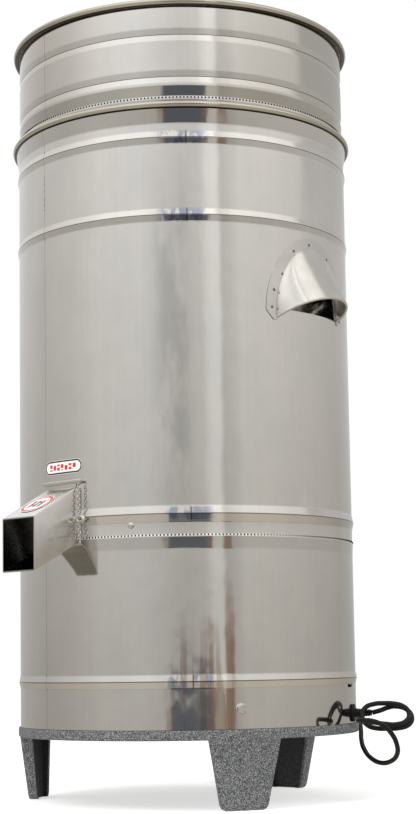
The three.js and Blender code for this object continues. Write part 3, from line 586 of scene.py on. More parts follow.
def sheet_metal(name, rows, thick, material, angle=35):
    """A sheet through rows of points, given a wall on its inner side."""
    bm = bmesh.new()
    made = [[bm.verts.new(point) for point in row] for row in rows]
    for row, following in zip(made, made[1:]):
        for i in range(len(row) - 1):
            bm.faces.new((row[i], row[i + 1], following[i + 1], following[i]))
    bmesh.ops.scale(bm, vec=(MM, MM, MM), verts=bm.verts)
    bmesh.ops.remove_doubles(bm, verts=bm.verts, dist=1e-7)
    mesh = bpy.data.meshes.new(name)
    bm.to_mesh(mesh)
    bm.free()
    mesh.materials.append(material)
    piece = bpy.data.objects.new(name, mesh)
    bpy.context.scene.collection.objects.link(piece)
    wall = piece.modifiers.new("Wall", "SOLIDIFY")
    wall.thickness = thick * MM
    wall.offset = -1
    settle(piece)
    piece.data.shade_smooth()
    piece.data.set_sharp_from_angle(angle=math.radians(angle))
    return piece


def boxed(name, low, high, matrix, material, round_mm=0.0, segments=2):
    """A box given in its own axes, placed by a matrix, with rounded edges."""
    bm = bmesh.new()
    bmesh.ops.create_cube(bm, size=1)
    size = Vector(high) - Vector(low)
    middle = (Vector(high) + Vector(low)) / 2
    bmesh.ops.transform(bm, matrix=matrix @ Matrix.Translation(middle) @ Matrix.Diagonal((*size, 1)),
                        verts=bm.verts)
    if round_mm:
        bmesh.ops.bevel(bm, geom=bm.edges[:], offset=round_mm, segments=segments, profile=0.5,
                        affect="EDGES", clamp_overlap=True)
    bmesh.ops.recalc_face_normals(bm, faces=bm.faces)
    return finish_mesh(bm, name, material)


def rod(name, radius, low, high, matrix, material, segments=24):
    """A cylinder along its own Z, placed by a matrix."""
    piece = turned(name, [(0, low), (radius, low), (radius, high), (0, high)], material, segments)
    place(piece, matrix)
    return piece


def place(piece, matrix):
    """Puts a matrix given in millimetres into a piece's mesh."""
    scale = Matrix.Scale(1 / MM, 4)
    piece.data.transform(scale.inverted() @ matrix @ scale)
    return piece


def joined(name, pieces):
    """Several meshes with one material list as one piece."""
    mesh = bpy.data.meshes.new(name)
    bm = bmesh.new()
    for piece in pieces:
        bm.from_mesh(piece.data)
    bm.to_mesh(mesh)
    bm.free()
    for material in pieces[0].data.materials:
        mesh.materials.append(material)
    for piece in pieces:
        bpy.data.objects.remove(piece)
    made = bpy.data.objects.new(name, mesh)
    bpy.context.scene.collection.objects.link(made)
    return made


def stand_for(piece, body, material_slot, *nodes):
    """Rides a finished piece on its body in place of CAD nodes; its material slot is not used."""
    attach(piece, body)
    if nodes:
        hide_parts(*nodes)
    return piece


# ------------------------------------------------------------------ geometry node trees
def geometry_tree(name, sockets):
    """A new geometry node tree with named inputs; returns its graph, group input and output."""
    tree = bpy.data.node_groups.new(name, "GeometryNodeTree")
    tree.interface.new_socket("Geometry", in_out="INPUT", socket_type="NodeSocketGeometry")
    for label, kind, default in sockets:
        socket = tree.interface.new_socket(label, in_out="INPUT", socket_type=kind)
        if default is not None:
            socket.default_value = default
    tree.interface.new_socket("Geometry", in_out="OUTPUT", socket_type="NodeSocketGeometry")
    graph = Graph(tree)
    return graph, tree.nodes.new("NodeGroupInput"), tree.nodes.new("NodeGroupOutput")


def close_tree(graph, instances, source, target):
    """Ends a tree in Realize Instances and Set Material."""
    real = graph.node("GeometryNodeRealizeInstances", {}, {0: instances})
    painted = graph.node("GeometryNodeSetMaterial", {},
                         {"Geometry": graph.out(real), "Material": graph.out(source, "Material")})
    graph.tree.links.new(painted.outputs[0], target.inputs[0])
    return graph.tree


def heads_tree():
    """A low dome on each point, its axis along the point's 'facing' attribute."""
    graph, source, target = geometry_tree("Heads on points", [
        ("Radius", "NodeSocketFloat", 0.002), ("Height", "NodeSocketFloat", 0.001),
        ("Segments", "NodeSocketInt", 10), ("Rings", "NodeSocketInt", 6),
        ("Material", "NodeSocketMaterial", None)])
    ball = graph.node("GeometryNodeMeshUVSphere", {},
                      {"Segments": graph.out(source, "Segments"),
                       "Rings": graph.out(source, "Rings"), "Radius": 1.0})
    smooth = graph.node("GeometryNodeSetShadeSmooth", {}, {0: graph.out(ball)})
    facing = graph.node("GeometryNodeInputNamedAttribute", {"data_type": "FLOAT_VECTOR"},
                        {"Name": "facing"})
    turn = graph.node("FunctionNodeAlignRotationToVector", {"axis": "Z"},
                      {"Vector": graph.out(facing)})
    scale = graph.combine(graph.out(source, "Radius"), graph.out(source, "Radius"),
                          graph.out(source, "Height"))
    heads = graph.node("GeometryNodeInstanceOnPoints", {},
                       {"Points": graph.out(source, "Geometry"), "Instance": graph.out(smooth),
                        "Rotation": graph.out(turn), "Scale": scale})
    return close_tree(graph, graph.out(heads), source, target)


def links_tree():
    """Chain links along a line: each is an oval ring, turned a quarter from the one before."""
    graph, source, target = geometry_tree("Chain links", [
        ("Long", "NodeSocketFloat", 0.005), ("Wide", "NodeSocketFloat", 0.0035),
        ("Wire", "NodeSocketFloat", 0.0005),
        ("Material", "NodeSocketMaterial", None)])
    loop = graph.node("GeometryNodeCurvePrimitiveCircle", {}, {"Resolution": 16, "Radius": 0.5})
    shaped = graph.node("GeometryNodeTransform", {},
                        {"Geometry": graph.out(loop),
                         "Scale": graph.combine(graph.out(source, "Wide"),
                                                graph.out(source, "Long"), 1.0)})
    wire = graph.node("GeometryNodeCurvePrimitiveCircle", {},
                      {"Resolution": 8, "Radius": graph.out(source, "Wire")})
    link = graph.node("GeometryNodeCurveToMesh", {},
                      {"Curve": graph.out(shaped), "Profile Curve": graph.out(wire)})
    index = graph.node("GeometryNodeInputIndex")
    quarter = graph.out(index).math("MODULO", 2.0) * (math.pi / 2) + math.pi / 4
    turn = graph.node("FunctionNodeEulerToRotation", {},
                      {0: graph.combine(math.pi / 2, 0.0, quarter)})
    links = graph.node("GeometryNodeInstanceOnPoints", {},
                       {"Points": graph.out(source, "Geometry"), "Instance": graph.out(link),
                        "Rotation": graph.out(turn)})
    return close_tree(graph, graph.out(links), source, target)


def spokes_tree():
    """Plates stood on edge round an axis, as a motor's fins and a fan's blades are."""
    graph, source, target = geometry_tree("Plates round an axis", [
        ("Count", "NodeSocketInt", 12), ("Reach", "NodeSocketFloat", 0.07),
        ("Deep", "NodeSocketFloat", 0.01), ("Thick", "NodeSocketFloat", 0.002),
        ("Tall", "NodeSocketFloat", 0.1), ("Middle", "NodeSocketFloat", 0.1),
        ("Material", "NodeSocketMaterial", None)])
    ring = graph.node("GeometryNodeMeshCircle", {},
                      {"Vertices": graph.out(source, "Count"), "Radius": graph.out(source, "Reach")})
    raised = graph.node("GeometryNodeTransform", {},
                        {"Geometry": graph.out(ring),
                         "Translation": graph.combine(0.0, 0.0, graph.out(source, "Middle"))})
    plate = graph.node("GeometryNodeMeshCube", {},
                       {"Size": graph.combine(graph.out(source, "Deep"), graph.out(source, "Thick"),
                                              graph.out(source, "Tall"))})
    index = graph.out(graph.node("GeometryNodeInputIndex"))
    angle = index * TURN / graph.out(source, "Count")
    turn = graph.node("FunctionNodeEulerToRotation", {}, {0: graph.combine(0.0, 0.0, angle)})
    plates = graph.node("GeometryNodeInstanceOnPoints", {},
                        {"Points": graph.out(raised), "Instance": graph.out(plate),
                         "Rotation": graph.out(turn)})
    return close_tree(graph, graph.out(plates), source, target)


TREES = {}


def grown(name, tree_name, points=(), **inputs):
    """A plain mesh made by one of the trees, from (place, facing) points in millimetres."""
    makers = {"heads": heads_tree, "links": links_tree, "spokes": spokes_tree}
    tree = TREES.get(tree_name) or TREES.setdefault(tree_name, makers[tree_name]())
    mesh = bpy.data.meshes.new(name)
    mesh.from_pydata([Vector(p) * MM for p, _ in points], [], [])
    facing = mesh.attributes.new("facing", "FLOAT_VECTOR", "POINT")
    for item, (_, direction) in zip(facing.data, points):
        item.vector = direction
    piece = bpy.data.objects.new(name, mesh)
    bpy.context.scene.collection.objects.link(piece)
    nodes = piece.modifiers.new("Grow", "NODES")
    nodes.node_group = tree
    for socket in tree.interface.items_tree:
        if socket.in_out == "INPUT" and socket.name in inputs:
            nodes[socket.identifier] = inputs[socket.name]
    settle(piece)
    if "facing" in piece.data.attributes:
        piece.data.attributes.remove(piece.data.attributes["facing"])
    piece.data.materials.clear()
    piece.data.materials.append(inputs["Material"])
    for face in piece.data.polygons:
        face.material_index = 0
    return piece


# ------------------------------------------------------------------ settings
def number_setting(name, description, default, **more):
    return bpy.props.FloatProperty(name=name, description=description, default=default, **more)


def colour_setting(name, description, default):
    return bpy.props.FloatVectorProperty(name=name, description=description, subtype="COLOR",
                                         default=default)


class DrumSettings(bpy.types.PropertyGroup):
    """Shapes of the rolled sheet parts, in millimetres."""

    bead_out: number_setting("Bead", "How far a drum bead stands out", 1.7)
    bead_half: number_setting("Bead half height", "Half a bead's height", 7.0)
    groove_deep: number_setting("Ring groove", "Depth of the feed ring's grooves", 1.3)
    flare: number_setting("Flare", "How far the wall flares under a rolled rim", 3.2)
    knurl_count: bpy.props.IntProperty(name="Seam dents", description="Dents in a knurled seam line",
                                       default=310)


class SteelSettings(bpy.types.PropertyGroup):
    """Look of the polished sheet."""

    colour: colour_setting("Steel", "Colour of clean sheet", (0.83, 0.81, 0.785))
    # Painted blue reflection by the front seam near the beads.
    blue_reflection: colour_setting("Blue reflection", "Painted blue reflection near the seam", (0.16, 0.22, 0.40))
    # Painted brown reflection low by the front seam.
    brown_reflection: colour_setting("Brown reflection", "Painted brown reflection low on the seam", (0.40, 0.28, 0.20))
    # Painted grey reflection along the front seam.
    smudge_and_reflection: colour_setting("Smudge", "Painted grey reflection along the front seam", (0.52, 0.52, 0.50))
    # Painted shade inside and under the chute.
    chute_shade: colour_setting("Chute shade", "Painted shade inside and under the chute", (0.10, 0.115, 0.11))
    # Painted tan reflection on the rolled rims.
    rim_reflection_colour: colour_setting("Rim", "Painted tan reflection on the rolled rims", (0.60, 0.56, 0.47))
    # Painted shade line on each bead's crest, and the colour of the real seam lines.
    crest_shade_and_seam_line: colour_setting("Crease", "Dark line along a bead's crest", (0.10, 0.09, 0.08))
    roughness: number_setting("Roughness", "How much the sheet blurs reflections", 0.075, min=0.02, max=1)


class PaintSettings(bpy.types.PropertyGroup):
    """Look of the cast base's hammered paint."""

    ground: colour_setting("Ground", "Dark ground", (0.045, 0.048, 0.052))
    # Painted shade inside the leg channels.
    channel_shade: colour_setting("Channel shade", "Painted shade inside the leg channels", (0.022, 0.023, 0.025))
    vein: colour_setting("Vein", "Bright silver vein", (0.40, 0.41, 0.42))


class MarkSettings(bpy.types.PropertyGroup):
    """Look of the printed marks."""

    paper: colour_setting("Film", "White film", (0.82, 0.82, 0.80))
    red: colour_setting("Red", "Red print", (0.55, 0.03, 0.03))


class CordSettings(bpy.types.PropertyGroup):
    """The mains lead, in metres."""

    diameter: number_setting("Diameter", "Diameter of the lead's jacket", 0.0056, unit="LENGTH")
    length: number_setting("Length", "Whole length of the lead", 1.95, unit="LENGTH")


SETTINGS = {"mill_drum": DrumSettings, "mill_steel": SteelSettings, "mill_paint": PaintSettings,
            "mill_marks": MarkSettings, "mill_cord": CordSettings}
FINISHES = {}


def finish(name):
    """A finish by name, made once."""
    scene = bpy.context.scene
    makers = {
        "drum": lambda: polished_steel(scene.mill_steel),
        "sheet": lambda: plain_sheet(scene.mill_steel),
        "paint": lambda: hammered_paint(scene.mill_paint),
        "bright": bright_plate,
        # The knurl dents' near-black matt finish is painted shade; the dents are pressed in the polished
        # sheet.
        "dents": lambda: enamel("Seam dents", (0.03, 0.028, 0.026), 0.8, 0.1),
        "rivet": lambda: machined("Dull rivet steel", (0.30, 0.29, 0.27), 0.4),
        "nickel": lambda: machined("Nickel ring", (0.97, 0.97, 0.95), 0.42),
        "motor": lambda: enamel("Motor enamel", (0.20, 0.24, 0.27), 0.45),
        "cowl": lambda: enamel("Grey moulding", (0.07, 0.075, 0.08), 0.5),
        "black": lambda: enamel("Black moulding", (0.018, 0.018, 0.019), 0.42),
        "rubber": cord_jacket,
        "core": lambda: machined("Stacked core steel", (0.28, 0.27, 0.26), 0.5),
        "turned": lambda: machined("Turned steel", (0.55, 0.55, 0.55), 0.34),
        "blade": lambda: machined("Ground blade steel", (0.66, 0.66, 0.67), 0.26),
        "brass": lambda: machined("Bright brass", (0.80, 0.62, 0.30), 0.25),
        "label": lambda: label_film(scene.mill_marks),
        "badge": lambda: badge_film(scene.mill_marks),
    }
    return FINISHES.get(name) or FINISHES.setdefault(name, makers[name]())


def repaint(node, look):
    """Gives a CAD node that stays visible one of the finishes."""
    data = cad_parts[node].data
    data.materials.clear()
    data.materials.append(finish(look))


# ------------------------------------------------------------------ outlines of the rolled parts
# The floor plate's seam as (offset, height): a long slope, a lip and a sharp step back.
FLOOR_SEAM = [(0.0, 283.0), (0.0, 284.5), (0.06, 285.6), (0.66, 297.0), (0.7, 297.6), (0.7, 299.4),
              (0.05, 300.1), (0.0, 300.8)]
SEAM_LIP_Z = 299.5


def rolled_rim(r, top, points=14):
    """Outline of a wire-rolled rim outside a wall of radius r, from below round to its inside."""
    centre = (r + RIM_TUBE - 0.6, top - RIM_TUBE)
    start, end = -150, 110
    angles = [math.radians(start + (end - start) * i / (points - 1)) for i in range(points)]
    return [(centre[0] + RIM_TUBE * math.cos(a), centre[1] + RIM_TUBE * math.sin(a)) for a in angles]


def ridge(z, out, half, soft=1.0):
    """A two-sided ridge across a wall as (offset, height), from below: flat flanks, soft crest."""
    crest = soft / half
    below = [(0.0, z - half - 1.5), (0.0, z - half - 0.4), (0.05 * out, z - half + 0.4),
             (out * (1 - crest), z - soft)]
    return below + [(out * (1 - crest * 0.5), z)] + [(o, 2 * z - h) for o, h in reversed(below)]


def closed_wall(offsets, r, inner, rim_top):
    """Closed outline of a sheet wall: its outer side up, the rolled rim, its inner side down."""
    outer = [(r + out, z) for out, z in offsets]
    inside = [(inner + out, z) for out, z in reversed(offsets)]
    return outer + rolled_rim(r, rim_top) + [(inner, rim_top - 1.6)] + inside


def drum_outline(look):
    """Outer offsets of the drum's wall from the bottom up."""
    offsets = [(0.0, DRUM_LOW + 0.2), (0.0, 110.0)]
    for z in BEADS:
        strong = 1.25 if z == CHUTE_BEAD else 1.0
        if z == CHUTE_BEAD:
            offsets += FLOOR_SEAM
        offsets += ridge(z, look.bead_out * strong, look.bead_half * strong)
        if z in (LOW_BEAD, HIGH_BEAD):
            offsets += [(0.0, z + 40.0), (0.0, z + (110.0 if z == LOW_BEAD else 60.0))]
    under_rim = RIM_TOP - 2 * RIM_TUBE
    return offsets + [(0.0, 761.5), (0.0, 763.4), (0.1, 763.9), (look.flare - 0.1, under_rim - 1.1),
                      (look.flare, under_rim - 0.6)]


def ring_outline(look):
    """Outer offsets of the feed ring's wall above its step."""
    step = [(0.9, -1.4), (0.9, 0.2), (-2.3, 1.6), (-2.6, 2.6), (-2.4, 3.4), (-0.12, 14.0), (0.0, 14.5),
            (0.0, 15.6)]
    offsets = [(out, RING_STEP + up) for out, up in step]
    for z in RING_BEADS:
        offsets += ridge(z, -look.groove_deep, look.bead_half)
    return offsets + [(0.0, RING_TOP - 2 * RIM_TUBE - 1.0)]


def seam_dents(name, r, z, chute_half=0.0):
    """The dotted line that a knurling wheel leaves round a seam, but not behind the chute."""
    count = bpy.context.scene.mill_drum.knurl_count
    points = []
    for i in range(count):
        az = 360 * i / count
        if abs((az - CHUTE_AZ + 180) % 360 - 180) >= chute_half:
            points.append((on_drum(az, r, z), outward(az)))
    # The dents get the near-black finish as painted shade.
    return grown(name, "heads", points, Radius=1.2 * MM, Height=0.8 * MM, Segments=6, Rings=4,
                 Material=finish("dents"))


def drum_cutter(az, low, high, round_mm=0.0):
    """A block across the drum's wall, given by its sides, heights and distances out."""
    return boxed("cutter", low, high, drum_basis(az), None, round_mm)


def drum_bore(az, z, radius, low=180.0, high=215.0):
    return rod("bore", radius, low, high, drum_basis(az, 0, z), None, 20)


def arch_points(half, mid, top, steps):
    """The curve of an arch as (side, height), from its left end over to its right one."""
    angles = [math.pi * i / steps for i in range(steps + 1)]
    return [(-half * math.cos(a), mid + (top - mid) * math.sin(a)) for a in angles]


def arch_cutter(az, outline, low, high):
    """A prism with an arch outline, through the drum's wall."""
    basis = drum_basis(az)
    rings = [[basis @ Vector((side, height, out)) for side, height in outline] for out in (low, high)]
    return lofted("arch", rings, None)


# ------------------------------------------------------------------ pieces
CAMERA = {"lens": 75.0, "sensor": 36.0, "shift_y": 0.0774, "place": (0, -2.051, 0.1649),
          "pan": -0.766, "tilt": 96.33, "roll": -0.88}
# Colours of the studio all round, from -180 to 180 degrees, and from straight down to straight up.
STUDIO_ROUND = [
    (0.00, (1.15, 1.17, 1.2)), (0.055, (1.02, 1.03, 1.06)), (0.11, (0.93, 0.93, 0.93)),
    (0.19, (0.82, 0.80, 0.78)), (0.27, (0.90, 0.88, 0.86)), (0.335, (1.06, 1.05, 1.03)),
    (0.42, (1.06, 1.06, 1.06)), (0.47, (0.92, 0.91, 0.90)), (0.50, (0.86, 0.85, 0.83)),
    (0.535, (0.93, 0.92, 0.90)), (0.552, (1.16, 1.16, 1.15)), (0.566, (1.2, 1.2, 1.18)),
    (0.574, (0.84, 0.82, 0.80)), (0.592, (0.90, 0.88, 0.86)), (0.61, (1.04, 1.03, 1.0)),
    (0.68, (1.02, 1.0, 0.97)), (0.76, (0.92, 0.90, 0.87)), (0.86, (0.80, 0.78, 0.75)),
    (0.92, (0.86, 0.87, 0.88)), (1.0, (1.15, 1.17, 1.2)),
]
STUDIO_UP = [
    (0.0, (0.40, 0.36, 0.30)), (0.30, (0.50, 0.46, 0.385)), (0.43, (0.52, 0.48, 0.41)),
    (0.475, (0.42, 0.40, 0.37)), (0.50, (0.47, 0.46, 0.44)), (0.55, (0.60, 0.595, 0.58)),
    (0.60, (0.74, 0.735, 0.725)), (0.68, (1.0, 0.99, 0.97)), (0.80, (1.1, 1.1, 1.08)),
    (1.0, (1.0, 1.0, 1.0)),
]
# Brown posts in front of the drum: azimuth, half width and top in degrees, and colour.
STUDIO_POSTS = ((27.5, 2.6, 2.4, (0.20, 0.11, 0.06)), (16.5, 1.6, 1.4, (0.22, 0.13, 0.09)),
                (-13.0, 2.4, -1.2, (0.16, 0.10, 0.07)))


class MILL_OT_stage(bpy.types.Operator):
    """Floor, camera and soft studio light"""

    bl_idname = "mill.stage"
    bl_label = "Stage"

    def execute(self, context):
        scene = context.scene
        scene.view_settings.view_transform = "Standard"
        self.add_camera(scene)
        self.add_floor()
        self.add_world(scene)
        self.add_light("Key light", (-1.3, -1.7, 2.6), 1.6, 55, (1.0, 0.985, 0.96))
        self.add_light("Fill light", (1.9, -0.9, 1.9), 1.4, 22, (0.96, 0.98, 1.0))
        return {"FINISHED"}

    def add_camera(self, scene):
        data = bpy.data.cameras.new("Camera")
        data.lens = CAMERA["lens"]
        data.sensor_width = CAMERA["sensor"]
        data.shift_y = CAMERA["shift_y"]
        camera = bpy.data.objects.new("Camera", data)
        pan, tilt, roll = (Matrix.Rotation(math.radians(CAMERA[name]), 4, axis)
                           for name, axis in (("pan", "Z"), ("tilt", "X"), ("roll", "Z")))
        camera.matrix_world = Matrix.Translation(CAMERA["place"]) @ pan @ tilt @ roll
        scene.collection.objects.link(camera)
        scene.camera = camera

    def add_floor(self):
        bm = bmesh.new()
        bmesh.ops.create_circle(bm, cap_ends=True, segments=96, radius=14000)
        material, graph, shader = new_material("Pale floor", roughness=0.9, specular_ior_level=0.0,
                                               emission_strength=0.62)
        shader.inputs["Emission Color"].default_value = (1.0, 1.0, 1.0, 1.0)
        vector, *_ = graph.place()
        tone = graph.noise(vector, 0.004, 3.0)
        connect(graph, shader, base_color=graph.mix(tone, (0.49, 0.49, 0.488), (0.52, 0.52, 0.518)))
        floor = finish_mesh(bm, "floor", material)
        floor.location.z = -0.3 * MM
        floor.visible_glossy = False

    def add_world(self, scene):
        """A pale studio: bright overhead, tan below, dark gear in front; the camera sees it white."""
        world = bpy.data.worlds.new("Studio")
        scene.world = world
        world.use_nodes = True
        graph = Graph(world.node_tree)
        background = world.node_tree.nodes["Background"]
        direction = graph.node("ShaderNodeTexCoord")
        parts = graph.node("ShaderNodeSeparateXYZ", {}, {0: graph.out(direction, "Generated")})
        x, y, z = (graph.out(parts, i) for i in range(3))
        azimuth = graph.azimuth(x, y)
        height = z.math("ARCSINE") * math.degrees(1)
        round_about = graph.node("ShaderNodeValToRGB", {"stops": STUDIO_ROUND}, {0: azimuth / 360 + 0.5})
        up_down = graph.node("ShaderNodeValToRGB", {"stops": STUDIO_UP}, {0: height / 180 + 0.5})
        room = graph.node("ShaderNodeMix", {"data_type": "RGBA", "blend_type": "MULTIPLY"},
                          {0: 1.0, 6: graph.out(round_about), 7: graph.out(up_down)})
        room = Value(graph, room.outputs[2])
        ragged = graph.noise(graph.combine(azimuth * 0.16, 0.0, 0.0), 1.6, 3.0) * 1.2 - 0.6
        gear = azimuth.within(3.0, 14.0, 2.0) * (height + ragged).fade(-0.2, -0.9)
        gear = gear * height.fade(-22.0, -14.0)
        room = graph.mix(gear * 0.85, room, (0.045, 0.055, 0.08))
        for centre, half, top, colour in STUDIO_POSTS:
            post = azimuth.within(centre, half, 1.2) * height.fade(top + 0.9, top - 2.4)
            room = graph.mix(post * height.fade(-5.5, -3.0) * 0.8, room, colour)
        behind_right = azimuth.fade(86.0, 98.0) * height.fade(10.0, 18.0)
        room = graph.mix(behind_right * 0.8, room, (0.46, 0.45, 0.44))
        seen = graph.out(graph.node("ShaderNodeLightPath"), "Is Camera Ray")
        room = graph.mix(seen, room, (1.0, 1.0, 1.0))
        world.node_tree.links.new(room.socket, background.inputs["Color"])

    def add_light(self, name, place_at, size, power, colour):
        data = bpy.data.lights.new(name, "AREA")
        data.size = size
        data.energy = power
        data.color = colour
        light = bpy.data.objects.new(name, data)
        aim = Vector((0, 0, 0.35)) - Vector(place_at)
        turn = aim.to_track_quat("-Z", "Y").to_matrix().to_4x4()
        light.matrix_world = Matrix.Translation(place_at) @ turn
        light.visible_glossy = False
        bpy.context.scene.collection.objects.link(light)


# Route of the lead in metres, from the tip of the gland's boot: two loops beside the
# drum, a loop that hangs under the flange, along the drum to the clip, down and over the floor.
ROUTE = [
    (.2126, -.0690, .0993), (.2220, -.0705, .1018), (.2310, -.0685, .1048), (.2400, -.0670, .1060),
    (.2520, -.0707, .1025), (.2570, -.0795, .0940), (.2520, -.0883, .0855), (.2400, -.0920, .0820),
    (.2280, -.0920, .0818), (.2160, -.0920, .0820), (.2042, -.0892, .0860), (.1993, -.0825, .0958),
    (.2042, -.0758, .1055), (.2160, -.0730, .1095), (.2260, -.0726, .1099), (.2360, -.0730, .1095),
    (.2480, -.0767, .1061), (.2530, -.0858, .0980), (.2480, -.0948, .0899), (.2360, -.0985, .0865),
    (.2220, -.0990, .0875), (.2080, -.1000, .0895), (.1963, -.1048, .0910), (.1915, -.1165, .0925),
    (.1963, -.1282, .0930), (.2080, -.1330, .0915), (.2190, -.1315, .0860), (.2280, -.1250, .0770),
    (.2345, -.1140, .0650), (.2365, -.1000, .0535), (.2320, -.0850, .0450), (.2225, -.0690, .0415),
    (.2120, -.0500, .0460), (.2060, -.0310, .0555), (.2048, -.0130, .0655), (.2062, .0040, .0760),
    (.2066, .0210, .0860), (.2038, .0420, .0950), (.1956, .0660, .1025), (.1814, .0980, .1110),
    (.1630, .1264, .1180), (.1419, .1496, .1210), (.1220, .1664, .1160), (.1065, .1780, .1010),
    (.0965, .1855, .0780), (.0915, .1890, .0540), (.0880, .1915, .0350), (.0845, .1940, .0190),
    (.0785, .1985, .0085), (.0700, .2045, .0040), (.0605, .2115, .0028), (.0515, .2195, .0028),
]
COIL_ENTRY = [(.0455, .2290, .0028), (.0410, .2420, .0028)]
COIL = {"x": .075, "y": .256, "turns": (.036, .0305, .025, .02775, .03325, .0385), "low": .0028,
        "high": .0084, "per_turn": 16, "shift": .2}
TAIL = [(.0640, .2928, .0086), (.0740, .2955, .0086), (.0850, .2966, .0084), (.0950, .2972, .0088),
        (.1058, .2976, .0104)]


def smooth_step(t):
    t = min(max(t, 0.0), 1.0)
    return t * t * (3 - 2 * t)


def coil_points():
    """Turns that lie side by side on the floor, then on each other, entered from the left."""
    radii, per_turn, shift = COIL["turns"], COIL["per_turn"], COIL["shift"]
    steps = (len(radii) - 1) * per_turn + 2
    points = []
    for i in range(steps):
        t = i / per_turn
        turn = min(int(t), len(radii) - 2)
        share = smooth_step((t - turn - 1 + shift) / shift)
        radius = radii[turn] + (radii[turn + 1] - radii[turn]) * share
        climb = smooth_step((t - 2.4) / 0.35)
        height = COIL["low"] + (COIL["high"] - COIL["low"]) * climb
        angle = TURN * t
        points.append((COIL["x"] - radius * math.cos(angle), COIL["y"] + radius * math.sin(angle), height))
    return points


class MILL_OT_supply_cord(bpy.types.Operator):
    """Mains lead with its gland, clip and plug"""

    bl_idname = "mill.supply_cord"
    bl_label = "Supply cord"

    def execute(self, context):
        settings = context.scene.mill_cord
        plug = self.make_plug()
        pins = [self.make_pin(i) for i in range(3)]
        gland = self.make_gland()
        curve = bpy.data.curves.new("mains_lead", "CURVE")
        curve.dimensions = "3D"
        curve.bevel_depth = settings.diameter / 2
        curve.bevel_resolution = 4
        curve.resolution_u = 6
        curve.use_fill_caps = True
        points = ROUTE + COIL_ENTRY + coil_points() + TAIL
        spline = curve.splines.new("BEZIER")
        spline.bezier_points.add(len(points) - 1)
        for knot, point in zip(spline.bezier_points, points):
            knot.co = point
            knot.handle_left_type = knot.handle_right_type = "AUTO"
        curve.materials.append(finish("rubber"))
        lead = bpy.data.objects.new("mains_lead", curve)
        context.scene.collection.objects.link(lead)
        stand_for(lead, "machine", "black_rubber", "supply_cord", "supply_cord_coil", "supply_cord_tail")
        self.make_clip()
        return {"FINISHED"}

    def make_gland(self):
        """Oval collar and a tapered boot with ribs round it."""
        basis = drum_basis(GLAND_AZ, 0, GLAND_Z)
        outline = []
        for i in range(48):
            a = TURN * i / 48
            outline.append((6.8 * math.cos(a), 6.8 * math.sin(a) + math.copysign(3.4, math.sin(a))))
        levels = [(200.3, 1.0), (202.4, 1.0), (202.9, 0.97), (203.0, 0.9)]
        rings = [[basis @ Vector((x * grow, y * grow, out)) for x, y in outline] for out, grow in levels]
        collar = lofted("collar", rings, finish("rubber"))
        profile = [(2.9, 186.5), (6.0, 186.5), (6.0, 202.6), (5.2, 203.6)]
        ribs, start, end = 6, 204.6, 221.6
        for i in range(ribs):
            z = start + (end - start) * i / ribs
            r = 5.2 - 1.4 * i / ribs
            profile += [(r, z), (r, z + 1.5), (r - 0.75, z + 1.75), (r - 0.75, z + 2.6)]
        profile += [(3.7, end + 0.4), (3.5, 222.6), (2.9, 222.6)]
        boot = turned("boot", profile, finish("rubber"), 40)
        place(boot, basis)
        gland = joined("cord_boot", [collar, boot])
        return stand_for(gland, "machine", "black_rubber", "cord_gland")

    def make_plug(self):
        """Moulded plug: a boot that swells into a flat grip with finger ribs."""
        low, high = box_mm("mains_plug")
        middle = (low + high) / 2
        wide, tall = high.y - low.y, high.z - low.z
        stations = [(0.0, 0.24, 0.36), (0.10, 0.25, 0.38), (0.22, 0.30, 0.44), (0.34, 0.42, 0.58),
                    (0.44, 0.62, 0.74), (0.52, 0.74, 0.80), (0.55, 0.70, 0.76), (0.59, 0.78, 0.82),
                    (0.62, 0.73, 0.78), (0.66, 0.84, 0.86), (0.69, 0.79, 0.82), (0.73, 0.92, 0.92),
                    (0.80, 0.97, 0.97), (0.88, 1.0, 1.0), (0.985, 1.0, 1.0), (1.0, 0.96, 0.95)]
        rings = []
        for share, w, h in stations:
            x = low.x + (high.x - low.x) * share
            ring = []
            for i in range(36):
                a = TURN * i / 36
                round_off = (abs(math.cos(a)) ** 3.2 + abs(math.sin(a)) ** 3.2) ** (-1 / 3.2)
                ring.append((x, middle.y + wide / 2 * w * round_off * math.cos(a),
                             middle.z + tall / 2 * h * round_off * math.sin(a)))
            rings.append(ring)
        plug = lofted("plug_body", rings, finish("black"), angle=60)
        return stand_for(plug, "machine", "black_plastic", "mains_plug")

    def make_pin(self, i):
        """Flat contact pin with rounded edges, lying where its CAD node lies."""
        node = f"plug_pin_{i + 1}"
        low, high = box_mm(node)
        tilt = (30, -30, 0)[i]
        middle = (low + high) / 2
        basis = Matrix.Translation(middle) @ Matrix.Rotation(math.radians(tilt), 4, "X")
        half_long = (high.x - low.x) / 2
        pin = boxed(f"contact_pin_{i + 1}", (-half_long, -0.8, -3.2), (half_long, 0.8, 3.2), basis,
                    finish("brass"), 0.35, 3)
        return stand_for(pin, "machine", "pin_brass", node)

    def make_clip(self):
        """P-clip under the rear bolt, round the lead."""
        az, seat, out, z = BOLT_AZ[1], DRUM_R + GAP, 206.2, 121.0
        outer, inner, wide = 4.3, 2.95, 10.0
        foot = boxed("foot", (-5, 103.5, seat), (5, 122, seat + 1), drum_basis(az), finish("black"), 0.3)
        basis = drum_basis(az, out, z) @ Matrix.Rotation(math.radians(90), 4, "Y")
        eye = turned("eye", [(inner, -wide / 2), (outer, -wide / 2), (outer, wide / 2), (inner, wide / 2)],
                     finish("black"), 40)
        place(eye, basis)
        clip = joined("lead_clip", [foot, eye])
        return stand_for(clip, "machine", "black_plastic", "cord_clip")


